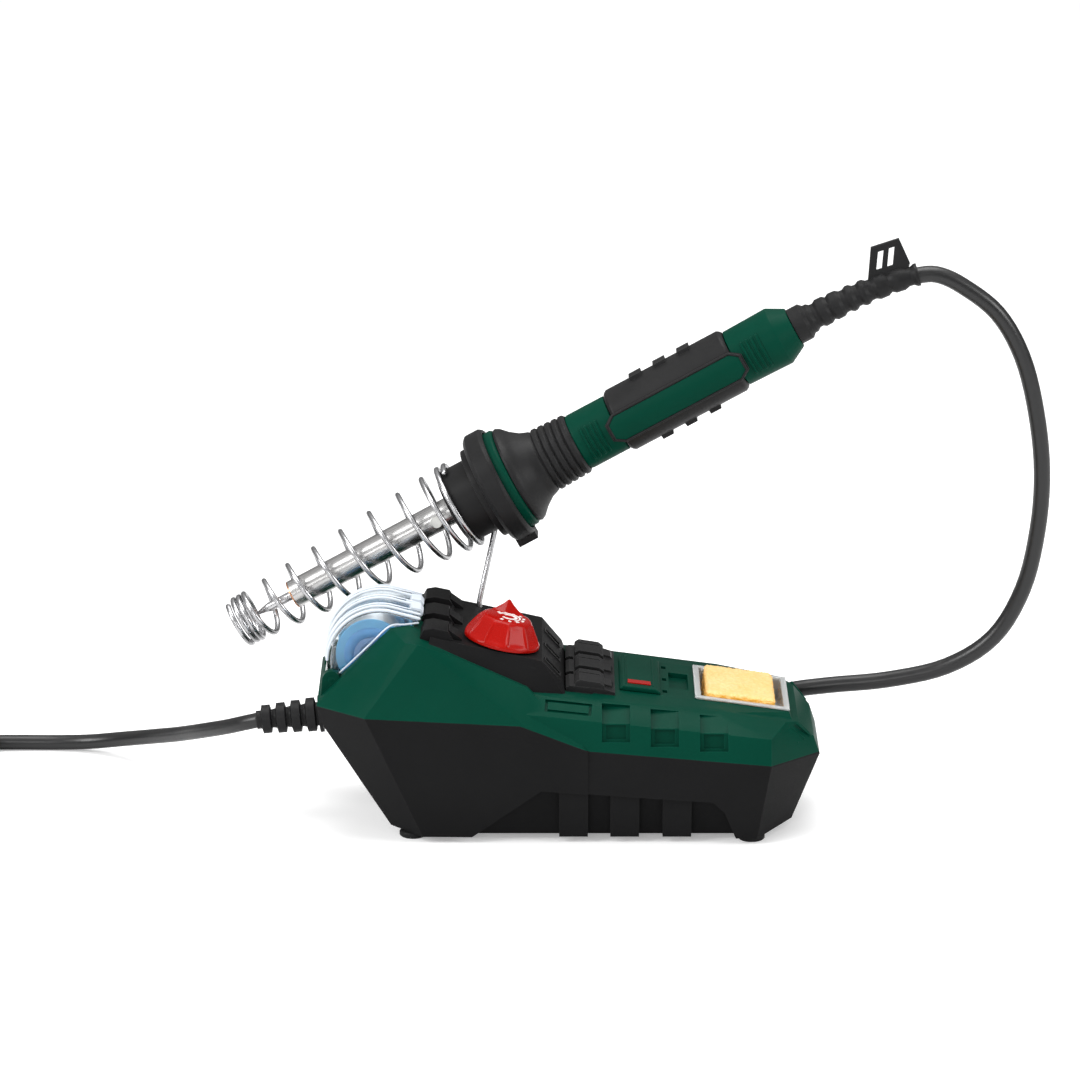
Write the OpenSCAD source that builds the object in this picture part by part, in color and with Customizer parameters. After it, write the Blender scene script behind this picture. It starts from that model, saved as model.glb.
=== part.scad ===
// Soldering iron station: a two-shell base with a knob, a solder reel under a clear lid and a
// sponge tray, and a wire-spring holder that carries the iron.
// X runs along the base towards the sponge, Y goes to the back, Z is up.
// The origin is the centre of the base on the surface that its feet stand on.

/* [Base] */
// Half length of the base at the seam
base_x = 96.5; // [90:0.5:105]
// Half width of the base at the seam
base_y = 47; // [44:0.5:52]
// Wall thickness of the two housings
wall = 2.2; // [1.6:0.2:3]
// Height of the housing's bottom over the table
floor_z = 2.5; // [2:0.5:4]
// Distance from the base's middle to its left feet
foot_x_left = 60; // [55:1:62]
// Distance from the base's middle to its right feet
foot_x_right = 70; // [60:1:72]
// Distance from the middle line to the feet
foot_y = 34; // [30:1:35]

/* [Control panel] */
// Slope of the control panel towards the sponge, in degrees
panel_tilt = 12.4; // [8:0.2:16]
// Half width of the control panel
panel_y = 34; // [30:1:35]
// Diameter of the knob at the panel
knob_d = 29.4; // [24:0.2:31]
// Height of the knob without its pointer
knob_h = 10; // [8:0.5:13]
// Diameter of the potentiometer shaft
shaft_d = 6; // [4:0.5:6]

/* [Solder compartment] */
// Radius of the reel's flanges
reel_r = 13.6; // [12:0.2:13.8]
// Diameter of the reel's axle
axle_d = 5; // [4:0.5:6]
// Wall thickness of the clear lid
lid_wall = 1.4; // [1:0.1:2]

/* [Iron and holder] */
// Tilt of the iron over the table, in degrees
iron_tilt = 28.8; // [24:0.2:32]
// Distance of the iron's plane behind the middle line
iron_y = 33; // [32:0.5:36]
// Diameter of the barrel
barrel_d = 11.2; // [9:0.2:12]
// Diameter of the handle
handle_d = 23; // [20:0.5:26]
// Diameter of the holder's wire
wire_d = 2.2; // [1.8:0.1:2.6]

/* [Cords] */
// Diameter of the iron's lead
lead_d = 6.6; // [5:0.2:7]
// Diameter of the mains cord
mains_d = 6; // [5:0.2:7]

/* [Hidden] */

fine = 64;
coarse = 32;
big = 400;

// ---------- colours ----------
green = [0.0, 0.27, 0.19];
black = [0.11, 0.11, 0.12];
soft_black = [0.16, 0.16, 0.17];
red = [0.75, 0.07, 0.04];
steel = [0.75, 0.76, 0.78];
copper = [0.8, 0.45, 0.25];
clear = [0.9, 0.93, 0.98, 0.4];
blue = [0.3, 0.6, 0.85];
yellow = [0.98, 0.83, 0.5];
board_green = [0.1, 0.4, 0.2];
tin = [0.7, 0.7, 0.72];

// ---------- base outline ----------
// Corners are [x, half width, z]; every one is used on both sides.
seam = [[-base_x, 53.1], [-17, 48.8], [7, 38.6], [base_x, 30.5]];
left_block = [[-base_x, 33, 53.1], [-78, base_y, 52.1], [-17, base_y, 48.8], [7, base_y, 38.6],
    [-94, 31, 44], [-68.5, 28, 3.6], [-56, 40, floor_z], [7, 41.4, floor_z],
    [-88, 20, 61.2], [-68.4, 20, 80], [-61, 20, 81.2], [-62.5, 34, 78], [-57.7, 37, 78.1],
    [-45, 37, 73.8], [-16, 37, 61]];
right_block = [[-17, base_y - 1, 40.7], [77, base_y, 32.2], [base_x, 22, 30.5],
    [-17, 41, floor_z], [72, 42, floor_z], [86, 20, 3.9],
    [-17, 44, 52.6], [77, 44, 42.7], [92.8, 24, 37.9], [-17, 36.5, 59.2], [58, 33, 50.4],
    [83, 31, 45.8], [88, 25, 44.2], [94.2, 22, 37.4]];
deck_block = [[8, 34, 55.6], [10, 26, 57], [58, 32.4, 49.9], [58, 23, 51], [86, 26, 43.6],
    [84.5, 22.6, 47.3]];
block_mid = [0, 0, 40];

function both_sides(corners) = [for (c = corners, s = [-1, 1]) [c[0], s * c[1], c[2]]];
function inwards(corners, by, mid) =
    [for (c = corners) [c[0] - by * sign(c[0] - mid[0]), c[1] - by, c[2] - by * sign(c[2] - mid[2])]];

module convex(points) {
    hull() polyhedron(points, [[for (i = [0:len(points) - 1]) i]]);
}

// A profile drawn in X and Z, filled from y0 to y1.
module side_slab(profile, y0, y1) {
    translate([0, y1, 0]) rotate([90, 0, 0]) linear_extrude(y1 - y0) polygon(profile);
}

module both() {
    children();
    mirror([0, 1, 0]) children();
}

module above_seam() {
    side_slab(concat([for (p = seam) [p[0] * 1.1, p[1]]], [[base_x * 1.1, 120],
        [-base_x * 1.1, 120]]), -80, 80);
}

module below_seam() {
    side_slab(concat([for (p = seam) [p[0] * 1.1, p[1]]], [[base_x * 1.1, -10],
        [-base_x * 1.1, -10]]), -80, 80);
}

module body_outside() {
    convex(both_sides(left_block));
    convex(both_sides(right_block));
}

module body_inside() {
    convex(both_sides(inwards(left_block, wall, block_mid)));
    convex(both_sides(inwards(right_block, wall, block_mid)));
}

// ---------- screws through the bottom ----------
// Each place is [x, y, height of the upper post's top].
screw_places = [[-38, 29, 69.4], [-38, -29, 69.4], [62, 25, 48.2], [62, -25, 48.2]];
screw_r = 1.5;
screw_top = 38;
screw_seat = 6;
post_r = 4;
post_join = 23.5;

module at_screws() {
    for (p = screw_places) translate([p[0], p[1], 0]) children();
}

// ---------- lower housing ----------
foot_places = [[-foot_x_left, foot_y - 4], [-foot_x_left, 4 - foot_y], [foot_x_right, foot_y],
    [foot_x_right, -foot_y]];
foot_neck_r = 3.4;
foot_barb_r = 4.4;
side_lean = 9.6;
recess_depth = 6;
rib_depth = 1.8;
recess = [[-10.8, 19.7], [55, 15.4], [59.6, 10.8], [64.6, -2], [-39.6, -2]];
rib_starts = [-3.8, 15.8, 35.8];
rib_w = 11;
gland_z = 40;
gland_x = -95;
gland_hole_r = 5;
back_gland = [-34, 46, 20];
back_hole_r = 4.6;

// A flat shape on the housing's leaning side, filled from so deep inside it outwards.
module in_side(deep) {
    translate([0, -41.4, floor_z]) rotate([side_lean, 0, 0]) translate([0, deep, 0])
        rotate([90, 0, 0]) linear_extrude(deep + 6) children();
}

module side_recess() {
    in_side(rib_depth) polygon(recess);
    in_side(recess_depth) difference() {
        polygon(recess);
        for (x = rib_starts) translate([x, -10]) square([rib_w, 60]);
    }
}

module lower_housing() {
    color(black) difference() {
        union() {
            difference() {
                intersection() {
                    body_outside();
                    below_seam();
                }
                difference() {
                    body_inside();
                    both() in_side(recess_depth + wall) offset(delta = wall) polygon(recess);
                }
            }
            at_screws() translate([0, 0, floor_z + 1])
                cylinder(r = post_r, h = post_join - floor_z - 1, $fn = coarse);
            translate([-55, -26, 1.4]) cube([12, 52, 1.5]);
        }
        both() side_recess();
        at_screws() {
            translate([0, 0, -1]) cylinder(r = screw_r + 0.15, h = 40, $fn = coarse);
            translate([0, 0, -1]) cylinder(r = 3.2, h = screw_seat + 1, $fn = coarse);
        }
        for (p = foot_places) translate([p[0], p[1], -1]) {
            cylinder(r = foot_neck_r + 0.05, h = 10, $fn = coarse);
            translate([0, 0, 6.3]) cylinder(r = foot_barb_r + 0.3, h = 6, $fn = coarse);
        }
        translate([gland_x - 10, 0, gland_z]) rotate([0, 90, 0])
            cylinder(r = gland_hole_r, h = 30, $fn = coarse);
        translate([back_gland[0], 30, back_gland[2]]) rotate([-90, 0, 0])
            cylinder(r = back_hole_r, h = 30, $fn = coarse);
    }
}

// ---------- upper housing ----------
reel_at = [-76, -1.5, 68.8];
bay_y = [-20, 17];
bay_right = -59.6;
hinge = [-91.2, 60.6];
ear_r = 3.4;
pin_r = 1.2;
rim = [[-92, 57.4], [-68.4, 80.1], [-58, 81.6]];
pocket_starts = [12.4, 31, 49.8];
pocket_w = 10.8;
tray_x = [49, 84];
tray_y = 21;
tray_mid = [66.5, 49.5];
tray_tilt = 8;
tray_depth = 9;

module on_tray() {
    translate([tray_mid[0], 0, tray_mid[1]]) rotate([0, tray_tilt, 0]) children();
}

module tray_room(extra) {
    l = tray_x[1] - tray_x[0] + 2 * extra;
    w = 2 * tray_y + 2 * extra;
    on_tray() translate([-l / 2, -w / 2, -tray_depth - extra]) cube([l, w, tray_depth + 20]);
}

// One pocket's outline in Y and Z: a shallow upright notch that runs on up the slope.
pocket = [[-3, 0], [1.8, 0], [1.8, 7], [7.6, 13.2], [4.7, 15.9], [-3, 9]];
// The deeper notch at its foot.
notch = [[-3, 1.1], [3, 1.1], [3, 6.6], [-3, 6.6]];
notch_in = 1.5;
// The long narrow frame on the front slope: its centre, and its size outside and inside.
frame_at = [-0.4, -40, 54];
frame_size = [18, 5.6];
frame_inside = [15.6, 3.2];

module at_pockets(outline, inset, grow) {
    for (x = pocket_starts) translate([x + inset - grow, 1 - base_y, 42.2 - 0.1 * (x - 12)])
        rotate([-14, 0, 0]) rotate([90, 0, 90]) linear_extrude(pocket_w - 2 * inset + 2 * grow)
            offset(delta = grow) polygon(outline);
}

module side_frame() {
    translate(frame_at) rotate([37.6, 0, 0]) rotate([0, 4.6, -3.9]) translate([0, 0, -0.7])
        linear_extrude(4) difference() {
            square(frame_size, center = true);
            square(frame_inside, center = true);
        }
}

module hinge_ear(y0, y1) {
    side_slab([[-95.6, 50], [-94.6, 61], [-87.8, 61], [-86.6, 54], [-86.6, 50]], y0, y1);
    translate([hinge[0], y1, hinge[1]]) rotate([90, 0, 0])
        cylinder(r = ear_r, h = y1 - y0, $fn = fine);
}

module roof_posts() {
    for (p = screw_places) translate([p[0], p[1], post_join])
        cylinder(r = post_r, h = p[2] - post_join, $fn = coarse);
}

// The reel's bay leaves a low sill at the left end, where the lid's hinge turns.
bay = [[-90.4, 52.6], [-90.4, 57], [-100, 57], [-100, 100], [bay_right, 100], [bay_right, 64],
    [-66, 52.6]];
electronics_bay = [[-45.5, 40], [-45.5, 90], [-6, 90], [6, 50], [6, 40]];

module upper_housing() {
    color(green) difference() {
        union() {
            intersection() {
                union() {
                    body_outside();
                    convex(both_sides(deck_block));
                }
                above_seam();
                union() {
                    difference() {
                        cube(big, center = true);
                        body_inside();
                    }
                    both() at_pockets(notch, notch_in, wall);
                    both() at_pockets(pocket, 0, 1.6);
                    translate([tray_x[0] - 3, -tray_y - 3, 36.5])
                        cube([tray_x[1] - tray_x[0] + 6, 2 * tray_y + 6, 20]);
                }
            }
            roof_posts();
            intersection() {
                union() {
                    hinge_ear(bay_y[0] - 4.6, bay_y[0] - 0.3);
                    hinge_ear(bay_y[1] + 0.3, bay_y[1] + 4.6);
                }
                above_seam();
            }
        }
        side_slab(bay, bay_y[0], bay_y[1]);
        translate([hinge[0], 60, hinge[1]]) rotate([90, 0, 0])
            cylinder(r = pin_r + 0.02, h = 120, $fn = coarse);
        side_slab(electronics_bay, -27, 27);
        translate([leg_foot[0], leg_foot[1], 50]) cylinder(r = socket_r + 0.3, h = 40, $fn = coarse);
        tray_room(0.3);
        both() {
            at_pockets(pocket, 0, 0);
            at_pockets(notch, notch_in, 0);
            side_frame();
        }
        at_screws() cylinder(r = screw_r + 0.05, h = screw_top + 1, $fn = coarse);
        for (y = [-13, -2, 9]) translate([91.6, y, 42.8]) rotate([0, 49, 0])
            translate([-2, 0, -1]) cube([9.5, 4.4, 3.4]);
        translate([38.4, -10.6, 51.4]) rotate([0, 6.5, 0]) cube([7.6, 21.2, 4]);
        for (y = [-18, -1.6, 14.8]) translate([36, y, 52.1]) cube([1.8, 3.6, 4]);
    }
}

module rubber_feet() {
    color(black) for (p = foot_places) translate([p[0], p[1], 0]) {
        rotate_extrude($fn = coarse) polygon([[0, 0], [4.6, 0], [5.2, 0.6], [5.2, 1.9], [4.6, 2.4],
            [foot_neck_r, 2.4], [foot_neck_r, 5.4], [foot_barb_r, 5.8], [3.6, 7.4], [0, 7.4]]);
    }
}

module housing_screws() {
    color(steel) at_screws() {
        translate([0, 0, screw_seat - 2.2]) difference() {
            cylinder(r = 3, h = 2.2, $fn = coarse);
            for (a = [0, 90]) rotate(a) translate([-1.8, -0.35, -0.1]) cube([3.6, 0.7, 1.2]);
        }
        translate([0, 0, screw_seat]) cylinder(r = screw_r, h = screw_top - screw_seat,
            $fn = coarse);
    }
}

// ---------- control panel ----------
knob_at = [-26, -17, 73.6];
leg_foot = [-34.8, 27.3, 75.4];
socket_r = 4;
pot_top = -3.2;
pot_deep = 9;
board_z = pot_top - pot_deep - 1.6;
board_x = [-15, 17];
board_y = [-10, 38];
board_screw_at = [[-12, -7], [-12, 35], [14, -7], [14, 35]];
panel_block = [[-53, panel_y - 3, 79.4], [-10.4, panel_y - 3, 70.1], [-2.6, panel_y - 4.5, 61.2],
    [-54, panel_y, 75], [-51, panel_y + 1, 72], [-12, panel_y + 1, 57.6], [-1, panel_y - 1, 55.4],
    [-54, panel_y - 4, 72]];
knuckle_y = [-22.5, 0, 22.5];
knuckle_w = 15;

module on_panel() {
    translate(knob_at) rotate([0, panel_tilt, 0]) children();
}

module panel_posts() {
    on_panel() for (p = board_screw_at) translate([p[0], p[1], board_z + 1.6]) difference() {
        cylinder(r = 3, h = -board_z - 4, $fn = coarse);
        translate([0, 0, -1]) cylinder(r = 1.5, h = 7.4, $fn = coarse);
    }
}

module control_panel() {
    color(soft_black) difference() {
        union() {
            difference() {
                union() {
                    convex(both_sides(panel_block));
                    for (y = knuckle_y) {
                        side_slab([[-56.4, 76], [-57, 79], [-55.4, 82], [-52, 82.6], [-46.4, 81.4],
                            [-43.6, 76.6]], y - knuckle_w / 2, y + knuckle_w / 2);
                        side_slab([[-46, 76], [-46, 81.2], [-41, 77.6], [-41, 75]], y - 4.6,
                            y + 4.6);
                    }
                    side_slab([[-54.4, 76], [-54.4, 79.6], [-45, 79], [-44, 76]], -29, 29);
                }
                body_outside();
                side_slab([[-60, 60], [-57.4, 76.2], [-50, 76.6], [-13, 67.6], [-5, 58], [-5, 40],
                    [-60, 40]], 2 - panel_y, panel_y - 2);
                for (y = [-11.2, 11.2], x = [-53, -50.2, -47.4]) translate([x, y - 2.6, 77.6])
                    cube([1.8, 5.2, 4]);
                for (y = [-20, 0, 20]) translate([-6.4, y, 66]) rotate([0, 48, 0])
                    translate([-3.6, -5.4, -1.4]) cube([7.6, 3.2, 3]);
            }
            translate(leg_foot - [0, 0, 16]) cylinder(r = socket_r, h = 15, $fn = coarse);
            panel_posts();
        }
        on_panel() translate([0, 0, -5])
            cylinder(r = shaft_d / 2 + 0.9, h = 10, $fn = coarse);
        translate(leg_foot - [0, 0, 14]) cylinder(r = wire_d / 2 + 0.25, h = 30, $fn = coarse);
    }
}

cover_y = [-20.4, 0, 20.4];

module ribbed_cover() {
    color(soft_black) difference() {
        union() {
            side_slab([[-1.3, 54], [-1.3, 59], [0.2, 59.6], [14, 58], [17.6, 56.8], [17.6, 52]],
                -28.5, 28.5);
            for (y = cover_y) {
                side_slab([[1.6, 57], [2.4, 60.9], [4, 61.9], [11.6, 60.7], [13.4, 59.4], [14, 56.4]],
                    y - 8, y + 8);
                side_slab([[13, 55.4], [13, 59.2], [16.2, 58.4], [17.8, 55.6]], y - 4, y + 4);
            }
        }
        for (y = [-10.2, 10.2]) {
            translate([-2.6, y - 2, 56.2]) cube([4.4, 4, 6]);
            translate([5, y - 1.1, 57.8]) cube([7.4, 2.2, 4]);
        }
        for (y = cover_y) translate([3.6, y + 2.6, 60.6]) rotate([0, 9, 0]) cube([8.4, 1, 3]);
        body_outside();
        convex(both_sides(deck_block));
        side_slab([[-0.6, 50], [-0.6, 57.4], [13, 56], [16, 55], [16, 50]], -27, 27);
    }
}

module badge_plate() {
    color(green) side_slab([[19.4, 55.86], [19.4, 56.6], [21, 57.7], [33, 56.2], [35.2, 54.8],
        [35.2, 53.88]], -22, 22);
}

module badge_bar() {
    color(red) side_slab([[22.6, 57.53], [22.6, 58], [31.4, 56.9], [31.4, 56.43]], -18, -13.8);
}

// ---------- knob and electronics ----------
module knob() {
    color(red) on_panel() translate([0, 0, 0.6]) {
        difference() {
            union() {
                rotate_extrude($fn = fine) polygon([[0, 0], [knob_d / 2, 0], [knob_d / 2, 1.8],
                    [knob_d / 2 - 0.8, 3.4], [10.6, knob_h - 1], [9.8, knob_h - 0.2], [9, knob_h],
                    [0, knob_h]]);
                for (a = [0:40:320]) rotate(a) translate([7, -1.6, 1.2]) rotate([0, -19, 0])
                    cube([5.4, 3.2, 6.4]);
            }
            translate([0, 0, -1]) cylinder(r = shaft_d / 2 - 0.02, h = 7.6, $fn = coarse);
            translate([0, 0, -1]) cylinder(r = 12.4, h = 3.6, $fn = fine);
        }
        rotate(-35) translate([0, 1.1, knob_h - 0.4]) rotate([90, 0, 0])
            linear_extrude(2.2) polygon([[-8.6, 0], [8.6, 0], [2.4, 2.2], [0.4, 4.6], [-2, 2.4]]);
    }
}

module pot_shaft() {
    color(steel) on_panel() translate([0, 0, pot_top - 4])
        cylinder(r = shaft_d / 2 - 0.02, h = 13.6, $fn = coarse);
}

module pot_body() {
    color(tin) on_panel() translate([0, 0, pot_top]) difference() {
        union() {
            translate([0, 0, -pot_deep]) cylinder(r = 8.2, h = pot_deep, $fn = fine);
            translate([-8, -4, -pot_deep]) cube([16, 12, 3]);
            cylinder(r = shaft_d / 2 + 0.75, h = 5.5, $fn = coarse);
            for (y = [-2.5, 0, 2.5]) translate([-12, y - 0.5, -pot_deep]) cube([5, 1, 0.8]);
        }
        translate([0, 0, -4.2]) cylinder(r = shaft_d / 2 + 0.04, h = 12, $fn = coarse);
    }
}

module pot_nut() {
    color(steel) on_panel() translate([0, 0, 0.1]) difference() {
        cylinder(r = 5.8, h = 2.2, $fn = 6);
        translate([0, 0, -1]) cylinder(r = shaft_d / 2 + 0.78, h = 6, $fn = coarse);
    }
}

module circuit_board() {
    color(board_green) on_panel() difference() {
        translate([board_x[0], board_y[0], board_z])
            cube([board_x[1] - board_x[0], board_y[1] - board_y[0], 1.6]);
        for (p = board_screw_at) translate([p[0], p[1], board_z - 1])
            cylinder(r = 1.6, h = 4, $fn = coarse);
    }
}

module board_screws() {
    color(steel) on_panel() for (p = board_screw_at) translate([p[0], p[1], board_z]) {
        translate([0, 0, -1.6]) cylinder(r = 2.8, h = 1.6, $fn = coarse);
        cylinder(r = 1.48, h = 7.6, $fn = coarse);
    }
}

module triac() {
    color(black) on_panel() translate([0.4, 10, board_z + 1.6]) {
        cube([10.2, 4.6, 7.8]);
        for (x = [1.6, 4.7, 7.8]) translate([x, 2, -3.6]) cube([0.8, 0.6, 4]);
    }
}

module heat_sink() {
    color(tin) on_panel() translate([-2.6, 14.7, board_z + 1.7]) {
        cube([16, 1.6, 8.4]);
        for (x = [0, 4.8, 9.6, 14.4]) translate([x, 1.5, 0]) cube([1.6, 6, 8.4]);
    }
}

module capacitor() {
    color([0.85, 0.6, 0.1]) on_panel() translate([-11, 16, board_z + 1.6]) {
        cube([6, 14, 8]);
        for (y = [2.4, 11]) translate([2.6, y, -3.4]) cube([0.8, 0.6, 4]);
    }
}

clamp_at = [-80, 0, gland_z];

module cord_clamp() {
    color(soft_black) translate(clamp_at) difference() {
        translate([-3, -11, -1]) cube([7, 22, 6.4]);
        translate([-4, 0, 0]) rotate([0, 90, 0]) cylinder(r = mains_d / 2 - 0.1, h = 9, $fn = coarse);
        for (y = [-8, 8]) translate([0.5, y, -2]) cylinder(r = 1.6, h = 9, $fn = coarse);
    }
    color(black) translate(clamp_at) difference() {
        translate([-3, -11, -7]) cube([7, 22, 5.8]);
        translate([-4, 0, 0]) rotate([0, 90, 0]) cylinder(r = mains_d / 2 - 0.1, h = 9, $fn = coarse);
        for (y = [-8, 8]) translate([0.5, y, -8]) cylinder(r = 1.6, h = 9, $fn = coarse);
    }
}

module clamp_screws() {
    color(steel) translate(clamp_at) for (y = [-8, 8]) translate([0.5, y, -6]) {
        cylinder(r = 1.5, h = 11.4, $fn = coarse);
        translate([0, 0, 11.4]) cylinder(r = 2.9, h = 1.8, $fn = coarse);
    }
}

// ---------- solder compartment ----------
cradle_wall = 1.2;
cradle_y = [bay_y[0] + 0.3, bay_y[1] - 0.3];
cradle_profile = [[-88, 56.4], [-88, 58.2], [-86.4, 62.2], [-68.6, 79.5], [-60.2, 80.5],
    [-60.2, 64], [-66, 54.4], [-71, 52.8], [-84, 52.8]];
cradle_hollow = [[-86.8, 57], [-86.8, 58.4], [-85.4, 61.9], [-85.4, 66], [-68.6, 84],
    [-61.4, 84], [-61.4, 64.6], [-67, 55.4], [-71.6, 54], [-83.4, 54]];

module reel_cradle() {
    y0 = cradle_y[0] + cradle_wall;
    y1 = cradle_y[1] - cradle_wall;
    color(blue) difference() {
        side_slab(cradle_profile, cradle_y[0], cradle_y[1]);
        side_slab(cradle_hollow, y0, y1);
        translate([reel_at[0], y1, reel_at[2]]) rotate([90, 0, 0])
            cylinder(r = reel_r + 0.8, h = y1 - y0, $fn = fine);
        translate([reel_at[0], 30, reel_at[2]]) rotate([90, 0, 0])
            cylinder(r = axle_d / 2 + 0.05, h = 60, $fn = coarse);
    }
}

module reel_axle() {
    color(steel) translate([reel_at[0], cradle_y[1] - 0.1, reel_at[2]]) rotate([90, 0, 0])
        cylinder(r = axle_d / 2, h = cradle_y[1] - cradle_y[0] - 0.2, $fn = coarse);
}

reel_half = 14.6;
flange_t = 1.4;
hub_r = 6.2;

module around_reel() {
    translate(reel_at) rotate([90, 0, 0]) children();
}

module solder_reel() {
    color(blue) around_reel() rotate_extrude($fn = fine) polygon([[axle_d / 2 + 0.06, -reel_half],
        [reel_r, -reel_half], [reel_r, flange_t - reel_half], [hub_r, flange_t - reel_half],
        [hub_r, reel_half - flange_t], [reel_r, reel_half - flange_t], [reel_r, reel_half],
        [axle_d / 2 + 0.06, reel_half]]);
}

module solder_wire() {
    half = reel_half - flange_t - 0.1;
    color(tin) around_reel() rotate_extrude($fn = fine) polygon([[hub_r + 0.02, -half],
        [reel_r - 2.4, -half], [reel_r - 2.4, half], [hub_r + 0.02, half]]);
}

// The lid is a rounded box whose outline is an arc and a straight top; it hangs on the pin.
lid_mid = [-72.6, 66.6];
lid_r = 20.4;
lid_y = [bay_y[0] + 0.9, bay_y[1] - 0.9];
lid_tip = [-57.7, 81.2];
lid_edge = [[lid_tip[0], lid_tip[1] + 0.4], [-68.8, 80.3], [-89.6, 60.2], [-92.6, 59.6]];

function arc_points(mid, r, from, to, steps) =
    [for (i = [0:steps]) let (a = from + (to - from) * i / steps)
        [mid[0] + r * cos(a), mid[1] + r * sin(a)]];

function lid_outline(inset) = concat(arc_points(lid_mid, lid_r - inset, 186, 76, 22),
    [[lid_tip[0] - inset, lid_tip[1] + 2.6 - inset]]);

module lid() {
    color(clear) difference() {
        union() {
            difference() {
                union() {
                    side_slab(concat(lid_outline(0), lid_edge), lid_y[0], lid_y[1]);
                    for (y = [-13.4, -1.5, 10.4]) intersection() {
                        side_slab(concat(lid_outline(-0.7), lid_edge), y - 0.8, y + 0.8);
                        translate([-130, -40, 70]) cube([80, 80, 40]);
                    }
                }
                side_slab(concat(lid_outline(lid_wall), [[lid_tip[0] - lid_wall, 70],
                    [lid_tip[0] - lid_wall, 50], [lid_mid[0] - lid_r + lid_wall, 50]]),
                    lid_y[0] + lid_wall, lid_y[1] - lid_wall);
            }
            translate([hinge[0], lid_y[1], hinge[1]]) rotate([90, 0, 0])
                cylinder(r = 2.6, h = lid_y[1] - lid_y[0], $fn = fine);
        }
        translate([hinge[0], 60, hinge[1]]) rotate([90, 0, 0])
            cylinder(r = pin_r + 0.06, h = 120, $fn = coarse);
        translate([lid_tip[0] - 5, -1.5 - 1.2, 76]) cube([10, 2.4, 12]);
    }
}

module lid_pin() {
    color(steel) translate([hinge[0], bay_y[1] + 4.6, hinge[1]]) rotate([90, 0, 0])
        cylinder(r = pin_r, h = bay_y[1] - bay_y[0] + 9.2, $fn = coarse);
}

// ---------- sponge ----------
tray_wall = 1.4;
sponge_x = [-14, 12.6];
sponge_y = 19.2;

module sponge_tray() {
    l = tray_x[1] - tray_x[0];
    color(clear) on_tray() difference() {
        union() {
            translate([-l / 2, -tray_y, -tray_depth]) cube([l, 2 * tray_y, tray_depth + 0.4]);
            translate([-l / 2 - 0.9, -tray_y - 0.9, 0.4]) cube([l + 1.8, 2 * tray_y + 1.8, 1]);
        }
        translate([-l / 2 + tray_wall, -tray_y + tray_wall, tray_wall - tray_depth])
            cube([l - 2 * tray_wall, 2 * tray_y - 2 * tray_wall, tray_depth + 4]);
    }
}

module sponge() {
    color(yellow) on_tray() translate([sponge_x[0], -sponge_y, tray_wall - tray_depth + 0.05])
        cube([sponge_x[1] - sponge_x[0], 2 * sponge_y, tray_depth + 0.8]);
}

// ---------- swept wires and cords ----------
function unit(v) = v / norm(v);
function tangent(path, i) =
    let (n = len(path) - 1) unit(path[min(i + 1, n)] - path[max(i - 1, 0)]);
function square_to(v, t) = unit(v - (v * t) * t);
// The sideways direction is carried from ring to ring, so the tube doesn't twist.
function sideways(path, first) = [for (i = 0, u = square_to(first, tangent(path, 0));
    i < len(path); i = i + 1, u = i < len(path) ? square_to(u, tangent(path, i)) : u) u];
function blend4(a, b, c, d, k) = 0.5 * (2 * b + (c - a) * k + (2 * a - 5 * b + 4 * c - d) * k * k
    + (3 * b - a - 3 * c + d) * k * k * k);
// A smooth curve through the route's points, with so many steps between two points.
function smooth(p, steps) = let (n = len(p) - 1) concat([for (i = [0:n - 1], j = [0:steps - 1])
    blend4(p[max(i - 1, 0)], p[i], p[i + 1], p[min(i + 2, n)], j / steps)], [p[n]]);

module sweep(path, radii, sides, first) {
    n = len(path);
    u = sideways(path, first);
    points = [for (i = [0:n - 1], j = [0:sides - 1]) let (t = tangent(path, i), a = 360 * j / sides)
        path[i] + radii[i] * (cos(a) * u[i] + sin(a) * cross(t, u[i]))];
    walls = [for (i = [0:n - 2], j = [0:sides - 1]) let (k = (j + 1) % sides, a = i * sides)
        [a + j, a + sides + j, a + sides + k, a + k]];
    polyhedron(points, concat(walls, [[for (j = [0:sides - 1]) j]],
        [[for (j = [sides - 1:-1:0]) (n - 1) * sides + j]]), convexity = 10);
}

module cord(path, d, sides, first) {
    sweep(path, [for (p = path) d / 2], sides, first);
}

// ---------- holder ----------
holder_at = [-30.5, iron_y, 121.2];

module on_iron() {
    translate(holder_at) rotate([0, 90 - iron_tilt, 0]) children();
}

// The spring's centre line in the iron's own frame: place along the axis and radius for each turn.
turn_at = [-112.4, -110, -107.6, -105, -95, -83.8, -71.6, -58.9, -45.5, -32.2, -21.4, -14.6, -11.8];
turn_r = [9.2, 9.2, 9.2, 9.4, 10.2, 11.2, 12.2, 13.2, 14.2, 15.2, 16.2, 16.7, 16.7];
turn_steps = 14;
spring_path = [for (i = [0:(len(turn_at) - 1) * turn_steps])
    let (k = i / turn_steps, a = 360 * k + 200,
        z = lookup(k, [for (j = [0:len(turn_at) - 1]) [j, turn_at[j]]]),
        r = lookup(k, [for (j = [0:len(turn_r) - 1]) [j, turn_r[j]]]))
    [r * cos(a), r * sin(a), z]];

module holder_spring() {
    color(steel) on_iron() sweep(spring_path, [for (p = spring_path) wire_d / 2], 6, [1, 0, 0]);
}

leg_path = [[-27.6, iron_y, 110.4], [-28.4, iron_y - 0.1, 106.6], [-29.6, iron_y - 0.8, 101],
    [-31.6, iron_y - 2.6, 92], [-33.4, iron_y - 4.4, 84], [-34.6, 27.6, 78.4], [-34.8, 27.3, 75.4],
    [-34.8, 27.3, 66]];

module holder_leg() {
    color(steel) cord(smooth(leg_path, 3), wire_d, 12, [0, 1, 0]);
}

hub_bore_r = barrel_d / 2 + 1.7;

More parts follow.
